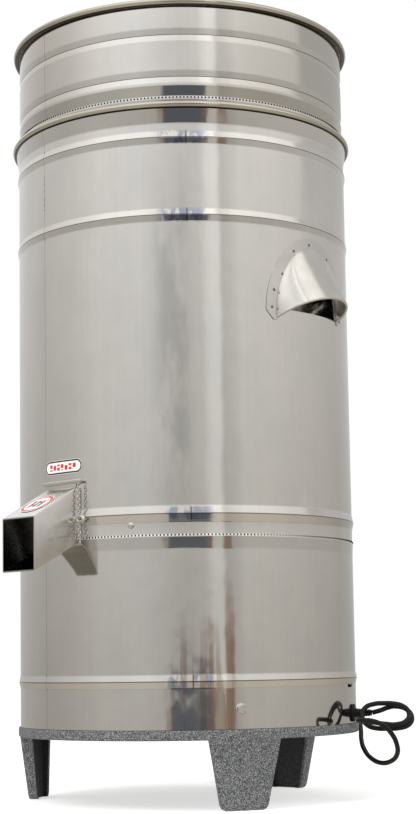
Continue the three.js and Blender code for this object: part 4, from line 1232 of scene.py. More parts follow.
class MILL_OT_base(bpy.types.Operator):
    """Cast base with its three channel legs"""

    bl_idname = "mill.base"
    bl_label = "Cast base"

    def execute(self, context):
        outer, inner, spigot = 202.5, 186.0, DRUM_R - SHEET - 0.4
        rounding = [(outer - 1.2 * (1 - math.sin(a)), FLANGE_TOP - 1.2 * (1 - math.cos(a)))
                    for a in (math.pi / 2 * i / 4 for i in range(4, -1, -1))]
        under = [(outer - 2.0 * (1 - math.cos(a)), FLANGE_LOW + 2.0 * (1 - math.sin(a)))
                 for a in (math.pi / 2 * i / 4 for i in range(4, -1, -1))]
        profile = [(inner + 1.5, FLANGE_LOW), *under, *rounding, (spigot, FLANGE_TOP),
                   (spigot, SPIGOT_TOP - 1.5), (spigot - 1.5, SPIGOT_TOP), (inner, SPIGOT_TOP),
                   (inner, FLANGE_LOW + 1.5)]
        base = turned("cast_base", profile, finish("paint"), 240)
        combine(base, [self.make_leg(az) for az in LEG_AZ], "UNION", 32)
        tools = [drum_bore(az, BOLT_Z, BOLT_BORE) for az in BOLT_AZ]
        tools.append(drum_bore(GLAND_AZ, GLAND_Z, GLAND_BORE))
        combine(base, tools, "DIFFERENCE", 32)
        stand_for(base, "machine", "hammered_paint", "base_casting")
        return {"FINISHED"}

    def make_leg(self, az):
        """A channel that narrows downwards, leans in and ends in a rounded foot."""
        outer, wall, draft, corner = 202.1, 6.0, 8.5, 6.0
        half_top, half_low, deep_top, deep_low = 12.0, 8.0, 14.6, 10.0
        levels = [(0.0, 1.5), (0.018, 0.62), (0.04, 0.28), (corner / FLANGE_LOW, 0.0), (0.35, 0.0),
                  (0.7, 0.0), (1.0, 0.0)]
        rings = []
        for share, narrow in levels:
            half = half_low + (half_top - half_low) * share - narrow
            reach = outer - draft * (1 - share) - narrow * 0.4
            deep = deep_low + (deep_top - deep_low) * share
            rings.append(self.channel(az, half, reach, deep, wall, FLANGE_LOW * share * 1.02))
        return lofted("leg", rings, finish("paint"), 32)

    def channel(self, az, half, reach, deep, wall, z):
        """One level of a leg: its curved face and its two side walls, with eased corners."""
        wall_angle = math.degrees(wall / reach)
        ease = math.degrees(1.6 / reach)
        points = [on_drum(az - half, reach - 1.6, z), on_drum(az - half + ease * 0.35, reach - 0.45, z)]
        points += [on_drum(az + (half - ease) * (2 * i / 12 - 1), reach, z) for i in range(13)]
        points += [on_drum(az + half - ease * 0.35, reach - 0.45, z), on_drum(az + half, reach - 1.6, z)]
        inner = half - wall_angle
        points += [on_drum(az + half, reach - deep, z), on_drum(az + inner, reach - deep, z)]
        points += [on_drum(az + inner * (1 - 2 * i / 12), reach - wall, z) for i in range(13)]
        points += [on_drum(az - inner, reach - deep, z), on_drum(az - half, reach - deep, z)]
        return points


class MILL_OT_drum(bpy.types.Operator):
    """Drum wall with beads, rolled rim, ports, vents and seams, and the floor plate"""

    bl_idname = "mill.drum"
    bl_label = "Drum"

    def execute(self, context):
        look = context.scene.mill_drum
        outline = closed_wall(drum_outline(look), DRUM_R, DRUM_R - SHEET, RIM_TOP)
        drum = turned("drum_wall", outline, finish("drum"), 288, 50)
        tools = [arch_cutter(HOOD_AZ, arch_points(48, 556, 622, 36), 180, 215),
                 drum_cutter(CHUTE_AZ, *PORT, 1.0)]
        for i in range(VENTS["count"]):
            az = VENTS["first"] + i * VENTS["step"]
            tools.append(drum_cutter(az, (-VENTS["long"] / 2, VENTS["z"] - VENTS["tall"] / 2, 190),
                                     (VENTS["long"] / 2, VENTS["z"] + VENTS["tall"] / 2, 215), 1.6))
        tools += [drum_bore(az, BOLT_Z, BOLT_BORE) for az in BOLT_AZ]
        tools += [drum_bore(az, SCREW_Z, SCREW_BORE) for az in SCREW_AZ]
        tools.append(drum_bore(GLAND_AZ, GLAND_Z, GLAND_BORE))
        combine(drum, tools, "DIFFERENCE", 50)
        stand_for(drum, "machine", "stainless_sheet", "drum_shell")
        dents = seam_dents("floor_seam_dents", DRUM_R + 0.4, SEAM_LIP_Z, 7.2)
        stand_for(dents, "machine", "stainless_sheet")
        seam = self.make_seam("side_seam", BACK_SEAM_AZ, DRUM_LOW + 1, RIM_TOP - 14, look)
        stand_for(seam, "machine", "stainless_sheet")
        self.make_floor_plate()
        return {"FINISHED"}

    def make_seam(self, name, az, low, high, look):
        """A flat weld bead that follows the wall over its beads."""
        heights = [low + (high - low) * i / 120 for i in range(121)]
        offsets = sorted(drum_outline(look), key=lambda item: item[1])
        rings = []
        for z in heights:
            out = DRUM_R
            for (o0, z0), (o1, z1) in zip(offsets, offsets[1:]):
                if z0 <= z <= z1 and z1 > z0:
                    out = DRUM_R + o0 + (o1 - o0) * (z - z0) / (z1 - z0)
            ripple = 0.05 * math.sin(z * 1.7)
            crest = 0.08 + ripple
            section = ((-0.5, 0.0), (-0.25, crest), (0.25, crest), (0.5, 0.0), (0.0, -0.3))
            rings.append([on_drum(az, out + lift, z, side) for side, lift in section])
        return lofted(name, rings, finish("drum"), 60)

    def make_floor_plate(self):
        edge, hub = DRUM_R - SHEET - 0.4, 15.0
        outline = [(hub, FLOOR_LOW), (edge - 2, FLOOR_LOW), (edge - 0.6, FLOOR_LOW + 0.6),
                   (edge, FLOOR_LOW + 2), (edge, FLOOR_RIM), (edge - 2, FLOOR_RIM),
                   (edge - 2, FLOOR_TOP + 2), (edge - 2.6, FLOOR_TOP + 0.6), (edge - 4, FLOOR_TOP),
                   (hub, FLOOR_TOP)]
        plate = turned("floor_pan", outline, finish("sheet"), 160)
        tools = [drum_cutter(CHUTE_AZ, *PORT)]
        tools += [drum_bore(az, SCREW_Z, SCREW_BORE) for az in SCREW_AZ]
        tools += [rod("hole", 4.5, 290, 310, at, None) for at in motor_bolt_places()]
        combine(plate, tools)
        stand_for(plate, "machine", "stainless_sheet", "floor_plate")


class MILL_OT_feed_ring(bpy.types.Operator):
    """Lift-off feed ring with grooves, a stepped skirt and a rolled rim"""

    bl_idname = "mill.feed_ring"
    bl_label = "Feed ring"

    def execute(self, context):
        look = context.scene.mill_drum
        r = DRUM_R - 1
        skirt = DRUM_R - SHEET - 0.5
        wall = ring_outline(look)
        outer = [(skirt, SKIRT_LOW), (skirt, RIM_TOP - 1.2), (DRUM_R - 0.2, RIM_TOP + 1.0)]
        outer += [(r + out, z) for out, z in wall]
        inner = [(r - SHEET, RING_TOP - 1.6)] + [(r - SHEET + out, z) for out, z in reversed(wall[3:])]
        inner += [(skirt - SHEET, RIM_TOP - 1.2), (skirt - SHEET, SKIRT_LOW)]
        outline = outer + rolled_rim(r, RING_TOP) + inner
        ring = turned("feed_collar", outline, finish("drum"), 288, 50)
        stand_for(ring, "feed_ring", "stainless_sheet", "feed_ring")
        dents = seam_dents("ring_step_dents", r + 0.85, RING_STEP + 0.2)
        stand_for(dents, "feed_ring", "stainless_sheet")
        return {"FINISHED"}


CHUTE = {"wide": 53.5, "wall": 1.5, "mouth": 265.5, "top": 322, "low": 262, "slope": 0.56, "slope_low": 0.49}
GATE = {"wide": 49, "thick": 1.2, "out": 201.2, "lip_wide": 56, "lip_low": 361.5, "lip_top": 366, "deep": 3.4}
BADGE = {"out": 238, "r": 20}
LABEL = {"z": 382, "long": 61, "tall": 16, "inset": 1.3, "pitch": 6.4}


def chute_lean():
    return math.atan(CHUTE["slope"])


def chute_top(out):
    return CHUTE["top"] + (CHUTE["mouth"] - out) * CHUTE["slope"]


def chute_low(out):
    return CHUTE["low"] + (CHUTE["mouth"] - out) * CHUTE["slope_low"]


def badge_centre():
    return on_drum(CHUTE_AZ, BADGE["out"], chute_top(BADGE["out"]) + 0.65)


class MILL_OT_chute(bpy.types.Operator):
    """Square discharge chute of folded sheet"""

    bl_idname = "mill.chute"
    bl_label = "Discharge chute"

    def execute(self, context):
        steps = 14
        outer = [self.section(i / steps, 0.0) for i in range(steps + 1)]
        inner = [self.section(i / steps, CHUTE["wall"]) for i in range(steps, -1, -1)]
        chute = lofted("chute_duct", outer + inner, finish("sheet"), 30, caps=False, closed=True)
        welds = self.make_weld()
        stand_for(chute, "machine", "stainless_sheet", "discharge_chute")
        stand_for(welds, "machine", "stainless_sheet")
        return {"FINISHED"}

    def section(self, share, inset):
        """The duct's outline at a share of the way from the drum to the mouth."""
        half = CHUTE["wide"] / 2 - inset
        corner = 1.8 - inset * 0.9
        outline = []
        for sx, sz, start in ((1, 1, 0), (-1, 1, 90), (-1, -1, 180), (1, -1, 270)):
            for angle in (0, 30, 60, 90):
                a = math.radians(start + angle)
                side = sx * (half - corner) + corner * math.cos(a)
                outline.append((side, sz, corner * (1 - abs(math.sin(a)))))
            if sx * sz > 0:
                outline += [(sx * (half - corner) * (1 - 2 * k / 8), sz, 0.0) for k in range(1, 8)]
        points = []
        for side, sign, drop in outline:
            root = math.sqrt((DRUM_R + GAP) ** 2 - side ** 2)
            if sign > 0 and abs(side) < GATE["wide"] / 2 + 0.6:
                root = GATE["out"] + GATE["thick"] + 0.8
            out = root + (CHUTE["mouth"] - root) * share
            z = chute_top(out) - inset * 1.13 - drop if sign > 0 else chute_low(out) + inset * 1.13 + drop
            points.append(on_drum(CHUTE_AZ, out, z, side))
        return points

    def make_weld(self):
        """Fillet welds down the duct's two sides where it meets the drum."""
        strips = []
        for sign in (-1, 1):
            side = sign * (CHUTE["wide"] / 2 + 0.2)
            rings = []
            for i in range(61):
                z = chute_low(201) + 1 + (chute_top(203) - chute_low(201) - 2) * i / 60
                size = 1.5 + 0.25 * math.sin(i * 2.1)
                wall = math.sqrt((DRUM_R + GAP) ** 2 - side ** 2)
                from_bead = abs(z - CHUTE_BEAD)
                bead = (2.2 if from_bead < 8 else 0.0) * (1 - from_bead / 9)
                section = ((-0.6, -0.1), (-0.3, size), (size * 0.45, size * 0.45), (size, 0.1),
                           (size * 0.4, -0.2))
                rings.append([on_drum(CHUTE_AZ, wall + bead + out, z, side + sign * width)
                              for width, out in section])
            strips.append(lofted("weld", rings, finish("sheet"), 60))
        return joined("chute_welds", strips)


class MILL_OT_gate(bpy.types.Operator):
    """Slide gate with its folded lip"""

    bl_idname = "mill.gate"
    bl_label = "Slide gate"

    def execute(self, context):
        basis = drum_basis(CHUTE_AZ)
        low = chute_low(GATE["out"]) + CHUTE["wall"] * 1.13 + 0.8
        plate = boxed("plate", (-GATE["wide"] / 2, low, GATE["out"]),
                      (GATE["wide"] / 2, GATE["lip_low"] + 1, GATE["out"] + GATE["thick"]), basis,
                      finish("sheet"), 0.4)
        lip = boxed("lip", (-GATE["lip_wide"] / 2, GATE["lip_low"], GATE["out"]),
                    (GATE["lip_wide"] / 2 + 5, GATE["lip_top"], GATE["out"] + GATE["deep"]), basis,
                    finish("sheet"), 0.9, 3)
        gate = combine(plate, [lip], "UNION")
        gate.name = "slide_gate"
        stand_for(gate, "gate", "stainless_sheet", "gate_plate")
        return {"FINISHED"}


class MILL_OT_chain(bpy.types.Operator):
    """Keeper chain of oval links with its ring and end links"""

    bl_idname = "mill.chain"
    bl_label = "Keeper chain"

    def execute(self, context):
        side, out = 31.2, 203.8
        pitch, long, wide, wire = 3.35, 5.0, 3.3, 0.55
        top, bottom = box_mm("keeper_chain")[1].z, box_mm("keeper_chain")[0].z
        count = int((top - bottom) / pitch) + 1
        points = [(on_drum(CHUTE_AZ, out, top - 1.8 - i * pitch, side), Z_AXIS) for i in range(count)]
        values = {"Long": long * MM, "Wide": wide * MM, "Wire": wire * MM, "Material": finish("bright")}
        links = grown("keeper_links", "links", points, **values)
        stand_for(links, "chain", "zinc_plate", "keeper_chain")
        self.make_ring()
        low, high = box_mm("chain_end")[0].z, box_mm("chain_end")[1].z
        ends = [(on_drum(CHUTE_AZ, out, high - 1.5 - i * pitch, side + (0.5 if i > 1 else 0.0)), Z_AXIS)
                for i in range(int((high - low) / pitch))]
        tail = grown("end_links", "links", ends, **values)
        stand_for(tail, "chain", "zinc_plate", "chain_end")
        return {"FINISHED"}

    def make_ring(self):
        """Oval ring that the chain is gathered on."""
        low, high = box_mm("chain_ring")
        basis = drum_basis(CHUTE_AZ)
        middle = basis.inverted() @ ((low + high) / 2)
        half_wide, half_tall, wire = 5.0, 3.0, 2.1
        rings = []
        for i in range(40):
            a = TURN * i / 40
            centre = middle + Vector((half_wide * math.cos(a), half_tall * math.sin(a), 0))
            outwards = Vector((math.cos(a), math.sin(a), 0))
            around = [TURN * k / 12 for k in range(12)]
            rings.append([basis @ (centre + outwards * wire * math.cos(b) + Z_AXIS * wire * math.sin(b))
                          for b in around])
        ring = lofted("oval_ring", rings, finish("nickel"), 60, caps=False, closed=True)
        stand_for(ring, "chain", "zinc_plate", "chain_ring")


HOOD = {"half": 69, "mid": 553.6, "top": 644, "low": 543, "foot": 60.0, "cone_half": 55.5, "cone_mid": 551,
        "apex": 631.5, "out": 31.5, "mouth_out": 570, "mouth_wall": 546, "skew": 10, "thick": 1.1}
HOOD_WALL = DRUM_R + GAP + HOOD["thick"]


class MILL_OT_vent_hood(bpy.types.Operator):
    """Half-cone hood with a riveted border"""

    bl_idname = "mill.vent_hood"
    bl_label = "Vent hood"

    def execute(self, context):
        cone = sheet_metal("cone", self.cone_rows(), HOOD["thick"], finish("sheet"), 40)
        border = sheet_metal("border", self.border_rows(), HOOD["thick"], finish("sheet"), 40)
        hood = joined("hood_shell", [cone, border, self.make_edge()])
        stand_for(hood, "machine", "stainless_sheet", "vent_hood")
        right = ((46.4, 636.0), (39.1, 625.0), (34.2, 596.5), (30.7, 577.0), (29.8, 557.0))
        places = [(az, z) for az, z in right] + [(2 * HOOD_AZ - az, z) for az, z in right[1:]]
        points = [(on_drum(az, HOOD_WALL - 0.1, z), outward(az)) for az, z in places]
        rivets = grown("hood_rivets", "heads", points, Radius=1.8 * MM, Height=0.9 * MM, Segments=20,
                       Rings=10, Material=finish("rivet"))
        stand_for(rivets, "machine", "stainless_sheet")
        return {"FINISHED"}

    def make_edge(self):
        """Rolled edge round the mouth."""
        basis = drum_basis(HOOD_AZ)
        path = []
        for i in range(49):
            a = math.pi * i / 48
            z = self.mouth(a)
            side = -HOOD["cone_half"] * math.cos(a)
            deep = HOOD["out"] * (HOOD["apex"] - z) / (HOOD["apex"] - HOOD["mouth_out"]) * math.sin(a)
            path.append(basis @ Vector((side, z, math.sqrt(HOOD_WALL ** 2 - side ** 2) + deep - 0.4)))
        rings = []
        for i, point in enumerate(path):
            along = (path[min(i + 1, 48)] - path[max(i - 1, 0)]).normalized()
            first = along.cross(outward(HOOD_AZ)).normalized()
            second = along.cross(first)
            rings.append([point + (first * math.cos(b) + second * math.sin(b)) * 1.5
                          for b in (TURN * k / 12 for k in range(12))])
        return lofted("mouth_edge", rings, finish("sheet"), 40)

    def cone_rows(self):
        """Rows from the apex down to the mouth; each runs over the hood from left to right."""
        peak = HOOD["apex"] + 0.8
        rows = []
        for k in range(33):
            share = (k / 32) ** 1.35
            row = []
            for i in range(49):
                a = math.pi * i / 48
                mouth = self.mouth(a)
                z = peak - share * (peak - mouth)
                drop = min((peak - z) / (peak - HOOD["cone_mid"]), 1.0)
                wide = HOOD["cone_half"] * math.sqrt(max(0.0, 1 - (1 - drop) ** 2))
                deep = HOOD["out"] * (peak - z) / (peak - HOOD["mouth_out"])
                side = -wide * math.cos(a)
                wall = math.sqrt(HOOD_WALL ** 2 - side ** 2)
                row.append(on_drum(HOOD_AZ, wall + deep * math.sin(a), z, side))
            rows.append(row)
        return rows

    def mouth(self, a):
        """Height of the mouth's edge at an angle round the cone; its right end is cut higher."""
        level = HOOD["mouth_wall"] + HOOD["skew"] * (1 - math.cos(a)) / 2
        return level + (HOOD["mouth_out"] - HOOD["mouth_wall"] - HOOD["skew"] / 2) * math.sin(a)

    def border_rows(self):
        """Rows from the cone's foot out to the border's edge, along the arch."""
        steps = 72
        inner = self.along(HOOD["cone_half"] - 0.4, HOOD["cone_mid"], HOOD["apex"] - 1, HOOD["low"],
                           HOOD["cone_half"] - 0.4, steps)
        outer = self.along(HOOD["half"], HOOD["mid"], HOOD["top"], HOOD["low"], HOOD["foot"], steps)
        rows = []
        for share in (0.0, 0.33, 0.66, 1.0):
            row = []
            for (x0, z0), (x1, z1) in zip(inner, outer):
                side, z = x0 + (x1 - x0) * share, z0 + (z1 - z0) * share
                if side > 0 and z < HOOD["mid"]:
                    z = HOOD["mid"] - (HOOD["mid"] - z) * 0.2
                wall = math.sqrt(HOOD_WALL ** 2 - side ** 2)
                row.append(on_drum(HOOD_AZ, wall, z, side))
            rows.append(row)
        return rows

    def along(self, half, mid, top, low, foot, steps):
        """An arch on leaning feet as (side, height), from its left foot to its right one."""
        left = [(-foot - (half - foot) * i / 4, low + (mid - low) * i / 4) for i in range(4)]
        right = [(-x, z) for x, z in reversed(left)]
        return left + arch_points(half, mid, top, steps) + right


class MILL_OT_marks(bpy.types.Operator):
    """Pill label over the chute and round sticker on it"""

    bl_idname = "mill.marks"
    bl_label = "Printed marks"

    def execute(self, context):
        half, straight = LABEL["tall"] / 2, LABEL["long"] / 2 - LABEL["tall"] / 2
        rows = []
        for k in range(13):
            up = 2 * k / 12 - 1
            row = []
            for i in range(61):
                a = math.pi * (i / 60 - 0.5)
                x = (straight + half) * math.sin(a)
                beyond = max(0.0, abs(x) - straight)
                height = up * math.sqrt(max(0.0, half ** 2 - beyond ** 2))
                out = math.sqrt((DRUM_R + GAP + 0.3) ** 2 - x ** 2)
                row.append(on_drum(CHUTE_AZ, out, LABEL["z"] + height, x))
            rows.append(row)
        label = sheet_metal("pill_label", rows, 0.3, finish("label"))
        stand_for(label, "machine", "label_film", "outlet_label")
        lean = Matrix.Rotation(chute_lean(), 4, "X")
        upright = drum_basis(CHUTE_AZ) @ lean @ Matrix.Rotation(math.radians(-90), 4, "X")
        upright.translation = badge_centre()
        badge = rod("round_sticker", BADGE["r"], -0.2, 0.2, upright, finish("badge"), 72)
        stand_for(badge, "machine", "label_film", "chute_badge")
        return {"FINISHED"}


class MILL_OT_fasteners(bpy.types.Operator):
    """Leg bolts, floor screws and motor bolts"""

    bl_idname = "mill.fasteners"
    bl_label = "Fasteners"

    def execute(self, context):
        for i, az in enumerate(BOLT_AZ):
            seat = DRUM_R + GAP + (1.3 if i == 1 else 0)
            bolt = self.hex_bolt(10, 3, 6.2, 188.5 - seat, drum_basis(az, seat, BOLT_Z))
            bolt.name = f"leg_bolt_head_{i + 1}"
            stand_for(bolt, "machine", "zinc_plate", f"leg_bolt_{i + 1}")
        for i, az in enumerate(SCREW_AZ):
            screw = self.dome_screw(drum_basis(az, DRUM_R + GAP, SCREW_Z))
            screw.name = f"floor_screw_head_{i + 1}"
            stand_for(screw, "machine", "zinc_plate", f"floor_screw_{i + 1}")
        for i, at in enumerate(motor_bolt_places(FLOOR_TOP + GAP)):
            bolt = self.hex_bolt(13, 4, 8.2, -15.1, at)
            bolt.name = f"motor_bolt_head_{i + 1}"
            stand_for(bolt, "machine", "zinc_plate", f"motor_bolt_{i + 1}")
        return {"FINISHED"}

    def hex_bolt(self, flats, shank, washer, tail, matrix):
        """Washer-faced bolt head and plain shank, standing on its seat along its own Z."""
        tall = flats * 0.45
        corner = flats / math.sqrt(3)
        crown = 1.0 + tall
        head = turned("head", [(0, 1.0), (corner, 1.0), (corner, crown - 0.5), (corner - 0.6, crown),
                               (0, crown)], finish("bright"), 6, 20)
        face = turned("face", [(0, 0), (washer, 0), (washer, 0.8), (washer - 0.5, 1.2), (0, 1.2)],
                      finish("bright"), 32)
        stem = turned("stem", [(0, tail), (shank - 0.6, tail), (shank, tail + 0.6), (shank, 0.45), (0, 0.45)],
                      finish("bright"), 22)
        bolt = combine(head, [face, stem], "UNION", 25)
        return place(bolt, matrix)

    def dome_screw(self, matrix):
        """Cross-recess screw with a domed head."""
        dome = [(3.5 * math.cos(a), 0.6 + 1.5 * math.sin(a)) for a in (math.pi / 2 * i / 8 for i in range(8))]
        head = turned("head", [(0, -4), (2, -4), (2, 0), (3.5, 0), *dome, (0, 2.1)], finish("bright"), 32)
        cross = [boxed("slot", (-2.0, -0.35, 1.1), (2.0, 0.35, 3.0), Matrix.Rotation(a, 4, "Z"), None)
                 for a in (0.3, 0.3 + math.pi / 2)]
        return place(combine(head, cross, "DIFFERENCE", 30), matrix)


class MILL_OT_motor(bpy.types.Operator):
    """Motor under the floor plate with its terminal box and capacitors"""

    bl_idname = "mill.motor"
    bl_label = "Motor"

    def execute(self, context):
        shield_top, shield_low = FLOOR_LOW - GAP, box_mm("motor_housing")[1].z + GAP
        top = turned("top_shield", [(71.1, shield_low - 8), (71.1, shield_low), (96, shield_low),
                                    (98, shield_low + 2), (98, shield_top), (16, shield_top),
                                    (16, shield_top - 5), (26.3, shield_top - 5), (26.3, shield_low - 18),
                                    (34, shield_low - 18), (34, shield_low), (66.4, shield_low),
                                    (66.4, shield_low - 8)], finish("motor"), 96)
        tools = [rod("hole", 4.5, 270, 310, at, None) for at in motor_bolt_places()]
        stand_for(combine(top, tools), "machine", "motor_paint", "motor_top_shield")
        self.make_housing()
        low_top = box_mm("motor_housing")[0].z - GAP
        bottom = turned("bottom_shield", [(16, 136), (34, 136), (36, 142), (74, 142), (76, 144),
                                          (76, low_top), (71.1, low_top), (71.1, low_top + 7),
                                          (66.4, low_top + 7), (66.4, low_top), (34, low_top), (34, 160),
                                          (26.3, 160), (26.3, 141), (16, 141)], finish("motor"), 96)
        stand_for(bottom, "machine", "motor_paint", "motor_bottom_shield")
        self.make_cowl()
        self.make_electrics()
        for node, look in (("stator_core", "core"), ("lower_bearing", "turned"), ("upper_bearing", "turned"),
                           ("motor_lead", "rubber")):
            repaint(node, look)
        lip = [(SHAFT_BORE, GAP), (28, GAP), (28, 3.4), (27.4, 4), (22, 5), (19, 11), (17.5, 12),
               (SHAFT_BORE, 12)]
        seal = turned("lip_seal", [(r, FLOOR_TOP + up) for r, up in lip], finish("rubber"), 64)
        stand_for(seal, "machine", "black_rubber", "shaft_seal")
        return {"FINISHED"}

    def make_housing(self):
        low, high = box_mm("motor_housing")[0].z, box_mm("motor_housing")[1].z
        barrel = turned("motor_barrel", [(71.4, low), (74.5, low), (75, low + 0.5), (75, high - 0.5),
                                         (74.5, high), (71.4, high)], finish("motor"), 96)
        stand_for(barrel, "machine", "motor_paint", "motor_housing")
        fins = grown("motor_fins", "spokes", Count=18, Reach=76.4 * MM, Deep=3.2 * MM, Thick=2.2 * MM,
                     Tall=(high - low - 4) * MM, Middle=(high + low) / 2 * MM, Material=finish("motor"))
        stand_for(bevel(fins, 0.5), "machine", "motor_paint")

    def make_cowl(self):
        low, high = 104, 141.7
        cowl = turned("fan_guard", [(26, low), (68, low), (72, low + 1.4), (76, low + 4), (77, low + 7),
                                    (77, high), (75.6, high), (75.6, low + 7.6), (74.6, low + 5),
                                    (71.4, low + 2.6), (68, low + 1.4), (26, low + 1.4)], finish("cowl"), 96)
        slots = []
        for i in range(20):
            turn = Matrix.Rotation(TURN * i / 20, 4, "Z")
            slots.append(boxed("slot", (-2.4, 34, low - 2), (2.4, 62, low + 3), turn, None, 1.2))
        stand_for(combine(cowl, slots), "machine", "grey_plastic", "fan_cowl")

    def make_electrics(self):
        basis = drum_basis(GLAND_AZ)
        inner = 78.3
        case = boxed("case", (-35, 190, inner), (35, 250, inner + 36), basis, finish("black"), 3, 3)
        case = combine(case, [boxed("hollow", (-32, 193, inner + 3), (32, 247, inner + 42), basis, None)])
        case.name = "terminal_case"
        stand_for(case, "machine", "black_plastic", "terminal_box")
        lid = boxed("terminal_cover", (-35, 190, inner + 36.3), (35, 250, inner + 39), basis,
                    finish("black"), 1, 3)
        combine(lid, [rod("hole", 4.2, inner + 30, inner + 60, drum_basis(GLAND_AZ, 0, 200), None)])
        stand_for(lid, "machine", "black_plastic", "terminal_box_lid")
        for name, node in (("start_can", "start_capacitor"), ("run_can", "run_capacitor")):
            low, high = box_mm(node)
            middle = (low + high) / 2
            at = Matrix.Translation((middle.x, middle.y, 0))
            tall = high.z - 7
            outline = [(0, low.z), (17.5, low.z), (19, low.z + 1.5), (19, tall - 3), (18.4, tall - 2),
                       (19, tall - 1), (17.6, tall), (7, tall), (6, tall + 0.8), (6, high.z - 0.6),
                       (5.4, high.z), (0, high.z)]
            can = turned(name, outline, finish("black"), 48)
            stand_for(place(can, at), "machine", "black_plastic", node)
        repaint("capacitor_strap", "bright")


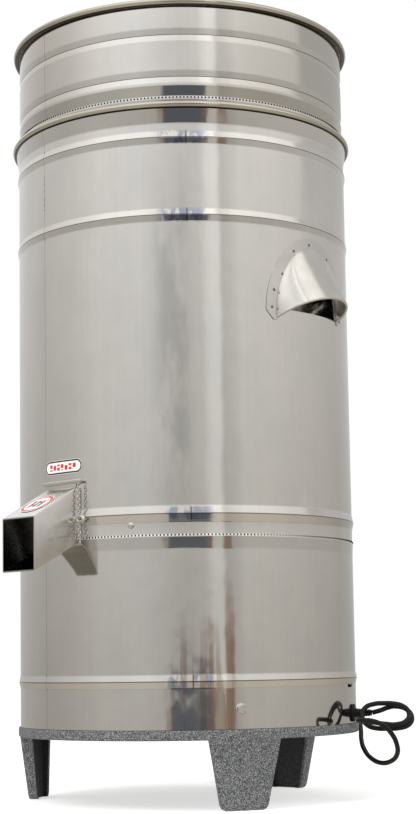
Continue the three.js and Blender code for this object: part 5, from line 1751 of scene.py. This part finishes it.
class MILL_OT_rotor(bpy.types.Operator):
    """Shaft, fan, hub and blades"""

    bl_idname = "mill.rotor"
    bl_label = "Rotor"

    def execute(self, context):
        low, high = box_mm("motor_shaft")[0].z, box_mm("motor_shaft")[1].z
        shaft = turned("drive_shaft", [(0, low), (11, low), (12, low + 1), (12, high - 16), (11.4, high - 15),
                                       (11.4, high - 2), (10, high), (0, high)], finish("turned"), 64)
        stand_for(shaft, "rotor", "blade_steel", "motor_shaft")
        self.make_fan()
        hub_low, hub_top = box_mm("blade_hub")[0].z, box_mm("blade_hub")[1].z
        outline = [(SHAFT_BORE, hub_low), (23, hub_low), (24, hub_low + 1), (24, hub_top - 8),
                   (26, hub_top - 6), (39, hub_top - 6), (40, hub_top - 5), (40, hub_top - 1),
                   (39, hub_top), (SHAFT_BORE, hub_top)]
        hub = turned("blade_carrier", outline, finish("turned"), 64)
        stand_for(hub, "rotor", "motor_paint", "blade_hub")
        self.make_collar("spacer_sleeve", "blade_spacer", 24, "turned", "motor_paint")
        self.make_collar("lock_washer", "blade_washer", 22, "bright", "zinc_plate")
        self.make_blade("long_blade", "lower_blade", 0)
        self.make_blade("short_blade", "upper_blade", 90)
        self.make_nut()
        repaint("rotor_core", "core")
        return {"FINISHED"}

    def make_collar(self, name, node, radius, look, material_slot):
        low, high = box_mm(node)[0].z, box_mm(node)[1].z
        outline = [(SHAFT_BORE, low), (radius - 0.6, low), (radius, low + 0.6), (radius, high - 0.6),
                   (radius - 0.6, high), (SHAFT_BORE, high)]
        collar = turned(name, outline, finish(look), 64)
        stand_for(collar, "rotor", material_slot, node)

    def make_bore(self, low, high):
        """Tool that cuts the shaft's hole through a piece between two heights."""
        return rod("bore", SHAFT_BORE, low - 5, high + 5, Matrix.Identity(4), None, 48)

    def make_blade(self, name, node, turn):
        """Two-ended bar, each end ground to an edge on its leading side."""
        low, high = box_mm(node)
        reach, half = (high.y if turn else high.x), 21.0
        bottom, top = low.z, high.z
        rings = []
        for i in range(25):
            x = -reach + 2 * reach * (i / 24)
            corner = max(0.0, 12 - (reach - abs(x))) / 12 * half * 0.4
            ground = smooth_step((abs(x) - 58) / 8) * 8.5
            lead = 1 if x > 0 else -1
            left = half - (corner if lead < 0 else 0)
            right = half - (corner if lead > 0 else 0)
            edge = bottom + 1.2
            up, down = (ground, 0.2) if lead < 0 else (0.2, ground)
            right_edge = edge if lead > 0 and ground > 1 else top - 0.2
            left_edge = edge if lead < 0 and ground > 1 else top - 0.2
            section = [(-left, bottom), (right, bottom), (right, right_edge), (right - down, top),
                       (-left + up, top), (-left, left_edge)]
            rings.append([(x, y, z) for y, z in section])
        blade = lofted(name, rings, finish("blade"), 20)
        combine(blade, [self.make_bore(bottom, top)], "DIFFERENCE", 20)
        place(blade, Matrix.Rotation(math.radians(turn), 4, "Z"))
        stand_for(blade, "rotor", "blade_steel", node)

    def make_nut(self):
        low, high = box_mm("blade_nut")[0].z, box_mm("blade_nut")[1].z
        corner = 36 / math.sqrt(3)
        nut = turned("lock_nut", [(0, low), (corner - 1, low), (corner, low + 0.8), (corner, high - 1.2),
                                  (corner - 1.8, high), (0, high)], finish("bright"), 6, 20)
        combine(nut, [self.make_bore(low, high)], "DIFFERENCE", 20)
        stand_for(nut, "rotor", "zinc_plate", "blade_nut")

    def make_fan(self):
        low, high = box_mm("cooling_fan")[0].z, box_mm("cooling_fan")[1].z
        outline = [(SHAFT_BORE, low), (21, low), (22, low + 1), (22, low + 16), (69, low + 16),
                   (70, low + 17), (69, low + 18), (22, low + 18.5), (22, high - 1), (21, high),
                   (SHAFT_BORE, high)]
        plate = turned("fan_disc", outline, finish("cowl"), 72)
        stand_for(plate, "rotor", "black_plastic", "cooling_fan")
        vanes = grown("fan_vanes", "spokes", Count=8, Reach=44 * MM, Deep=46 * MM, Thick=1.8 * MM,
                      Tall=14.6 * MM, Middle=(low + 9) * MM, Material=finish("cowl"))
        stand_for(bevel(vanes, 0.6), "rotor", "black_plastic")


# ------------------------------------------------------------------ panel and registration
OPERATORS = (MILL_OT_stage, MILL_OT_supply_cord, MILL_OT_base, MILL_OT_drum, MILL_OT_feed_ring,
             MILL_OT_chute, MILL_OT_gate, MILL_OT_chain, MILL_OT_vent_hood, MILL_OT_marks,
             MILL_OT_fasteners, MILL_OT_motor, MILL_OT_rotor)


class MILL_PT_panel(bpy.types.Panel):
    """Lists the drum mill's pieces and settings"""

    bl_idname = "MILL_PT_panel"
    bl_label = "Drum mill"
    bl_space_type = "VIEW_3D"
    bl_region_type = "UI"
    bl_category = "Drum mill"

    def draw(self, context):
        for settings in SETTINGS:
            box = self.layout.box()
            group = getattr(context.scene, settings)
            for name in group.bl_rna.properties.keys():
                if name not in {"rna_type", "name"}:
                    box.prop(group, name)
        for operator in OPERATORS:
            self.layout.operator(operator.bl_idname)


def register():
    for cls in (*SETTINGS.values(), *OPERATORS, MILL_PT_panel):
        bpy.utils.register_class(cls)
    for name, cls in SETTINGS.items():
        setattr(bpy.types.Scene, name, bpy.props.PointerProperty(type=cls))


def unregister():
    for name in SETTINGS:
        delattr(bpy.types.Scene, name)
    for cls in reversed((*SETTINGS.values(), *OPERATORS, MILL_PT_panel)):
        bpy.utils.unregister_class(cls)


def main():
    register()
    for operator in OPERATORS:
        group, name = operator.bl_idname.split(".")
        getattr(getattr(bpy.ops, group), name)()


if __name__ == "__main__":
    main()
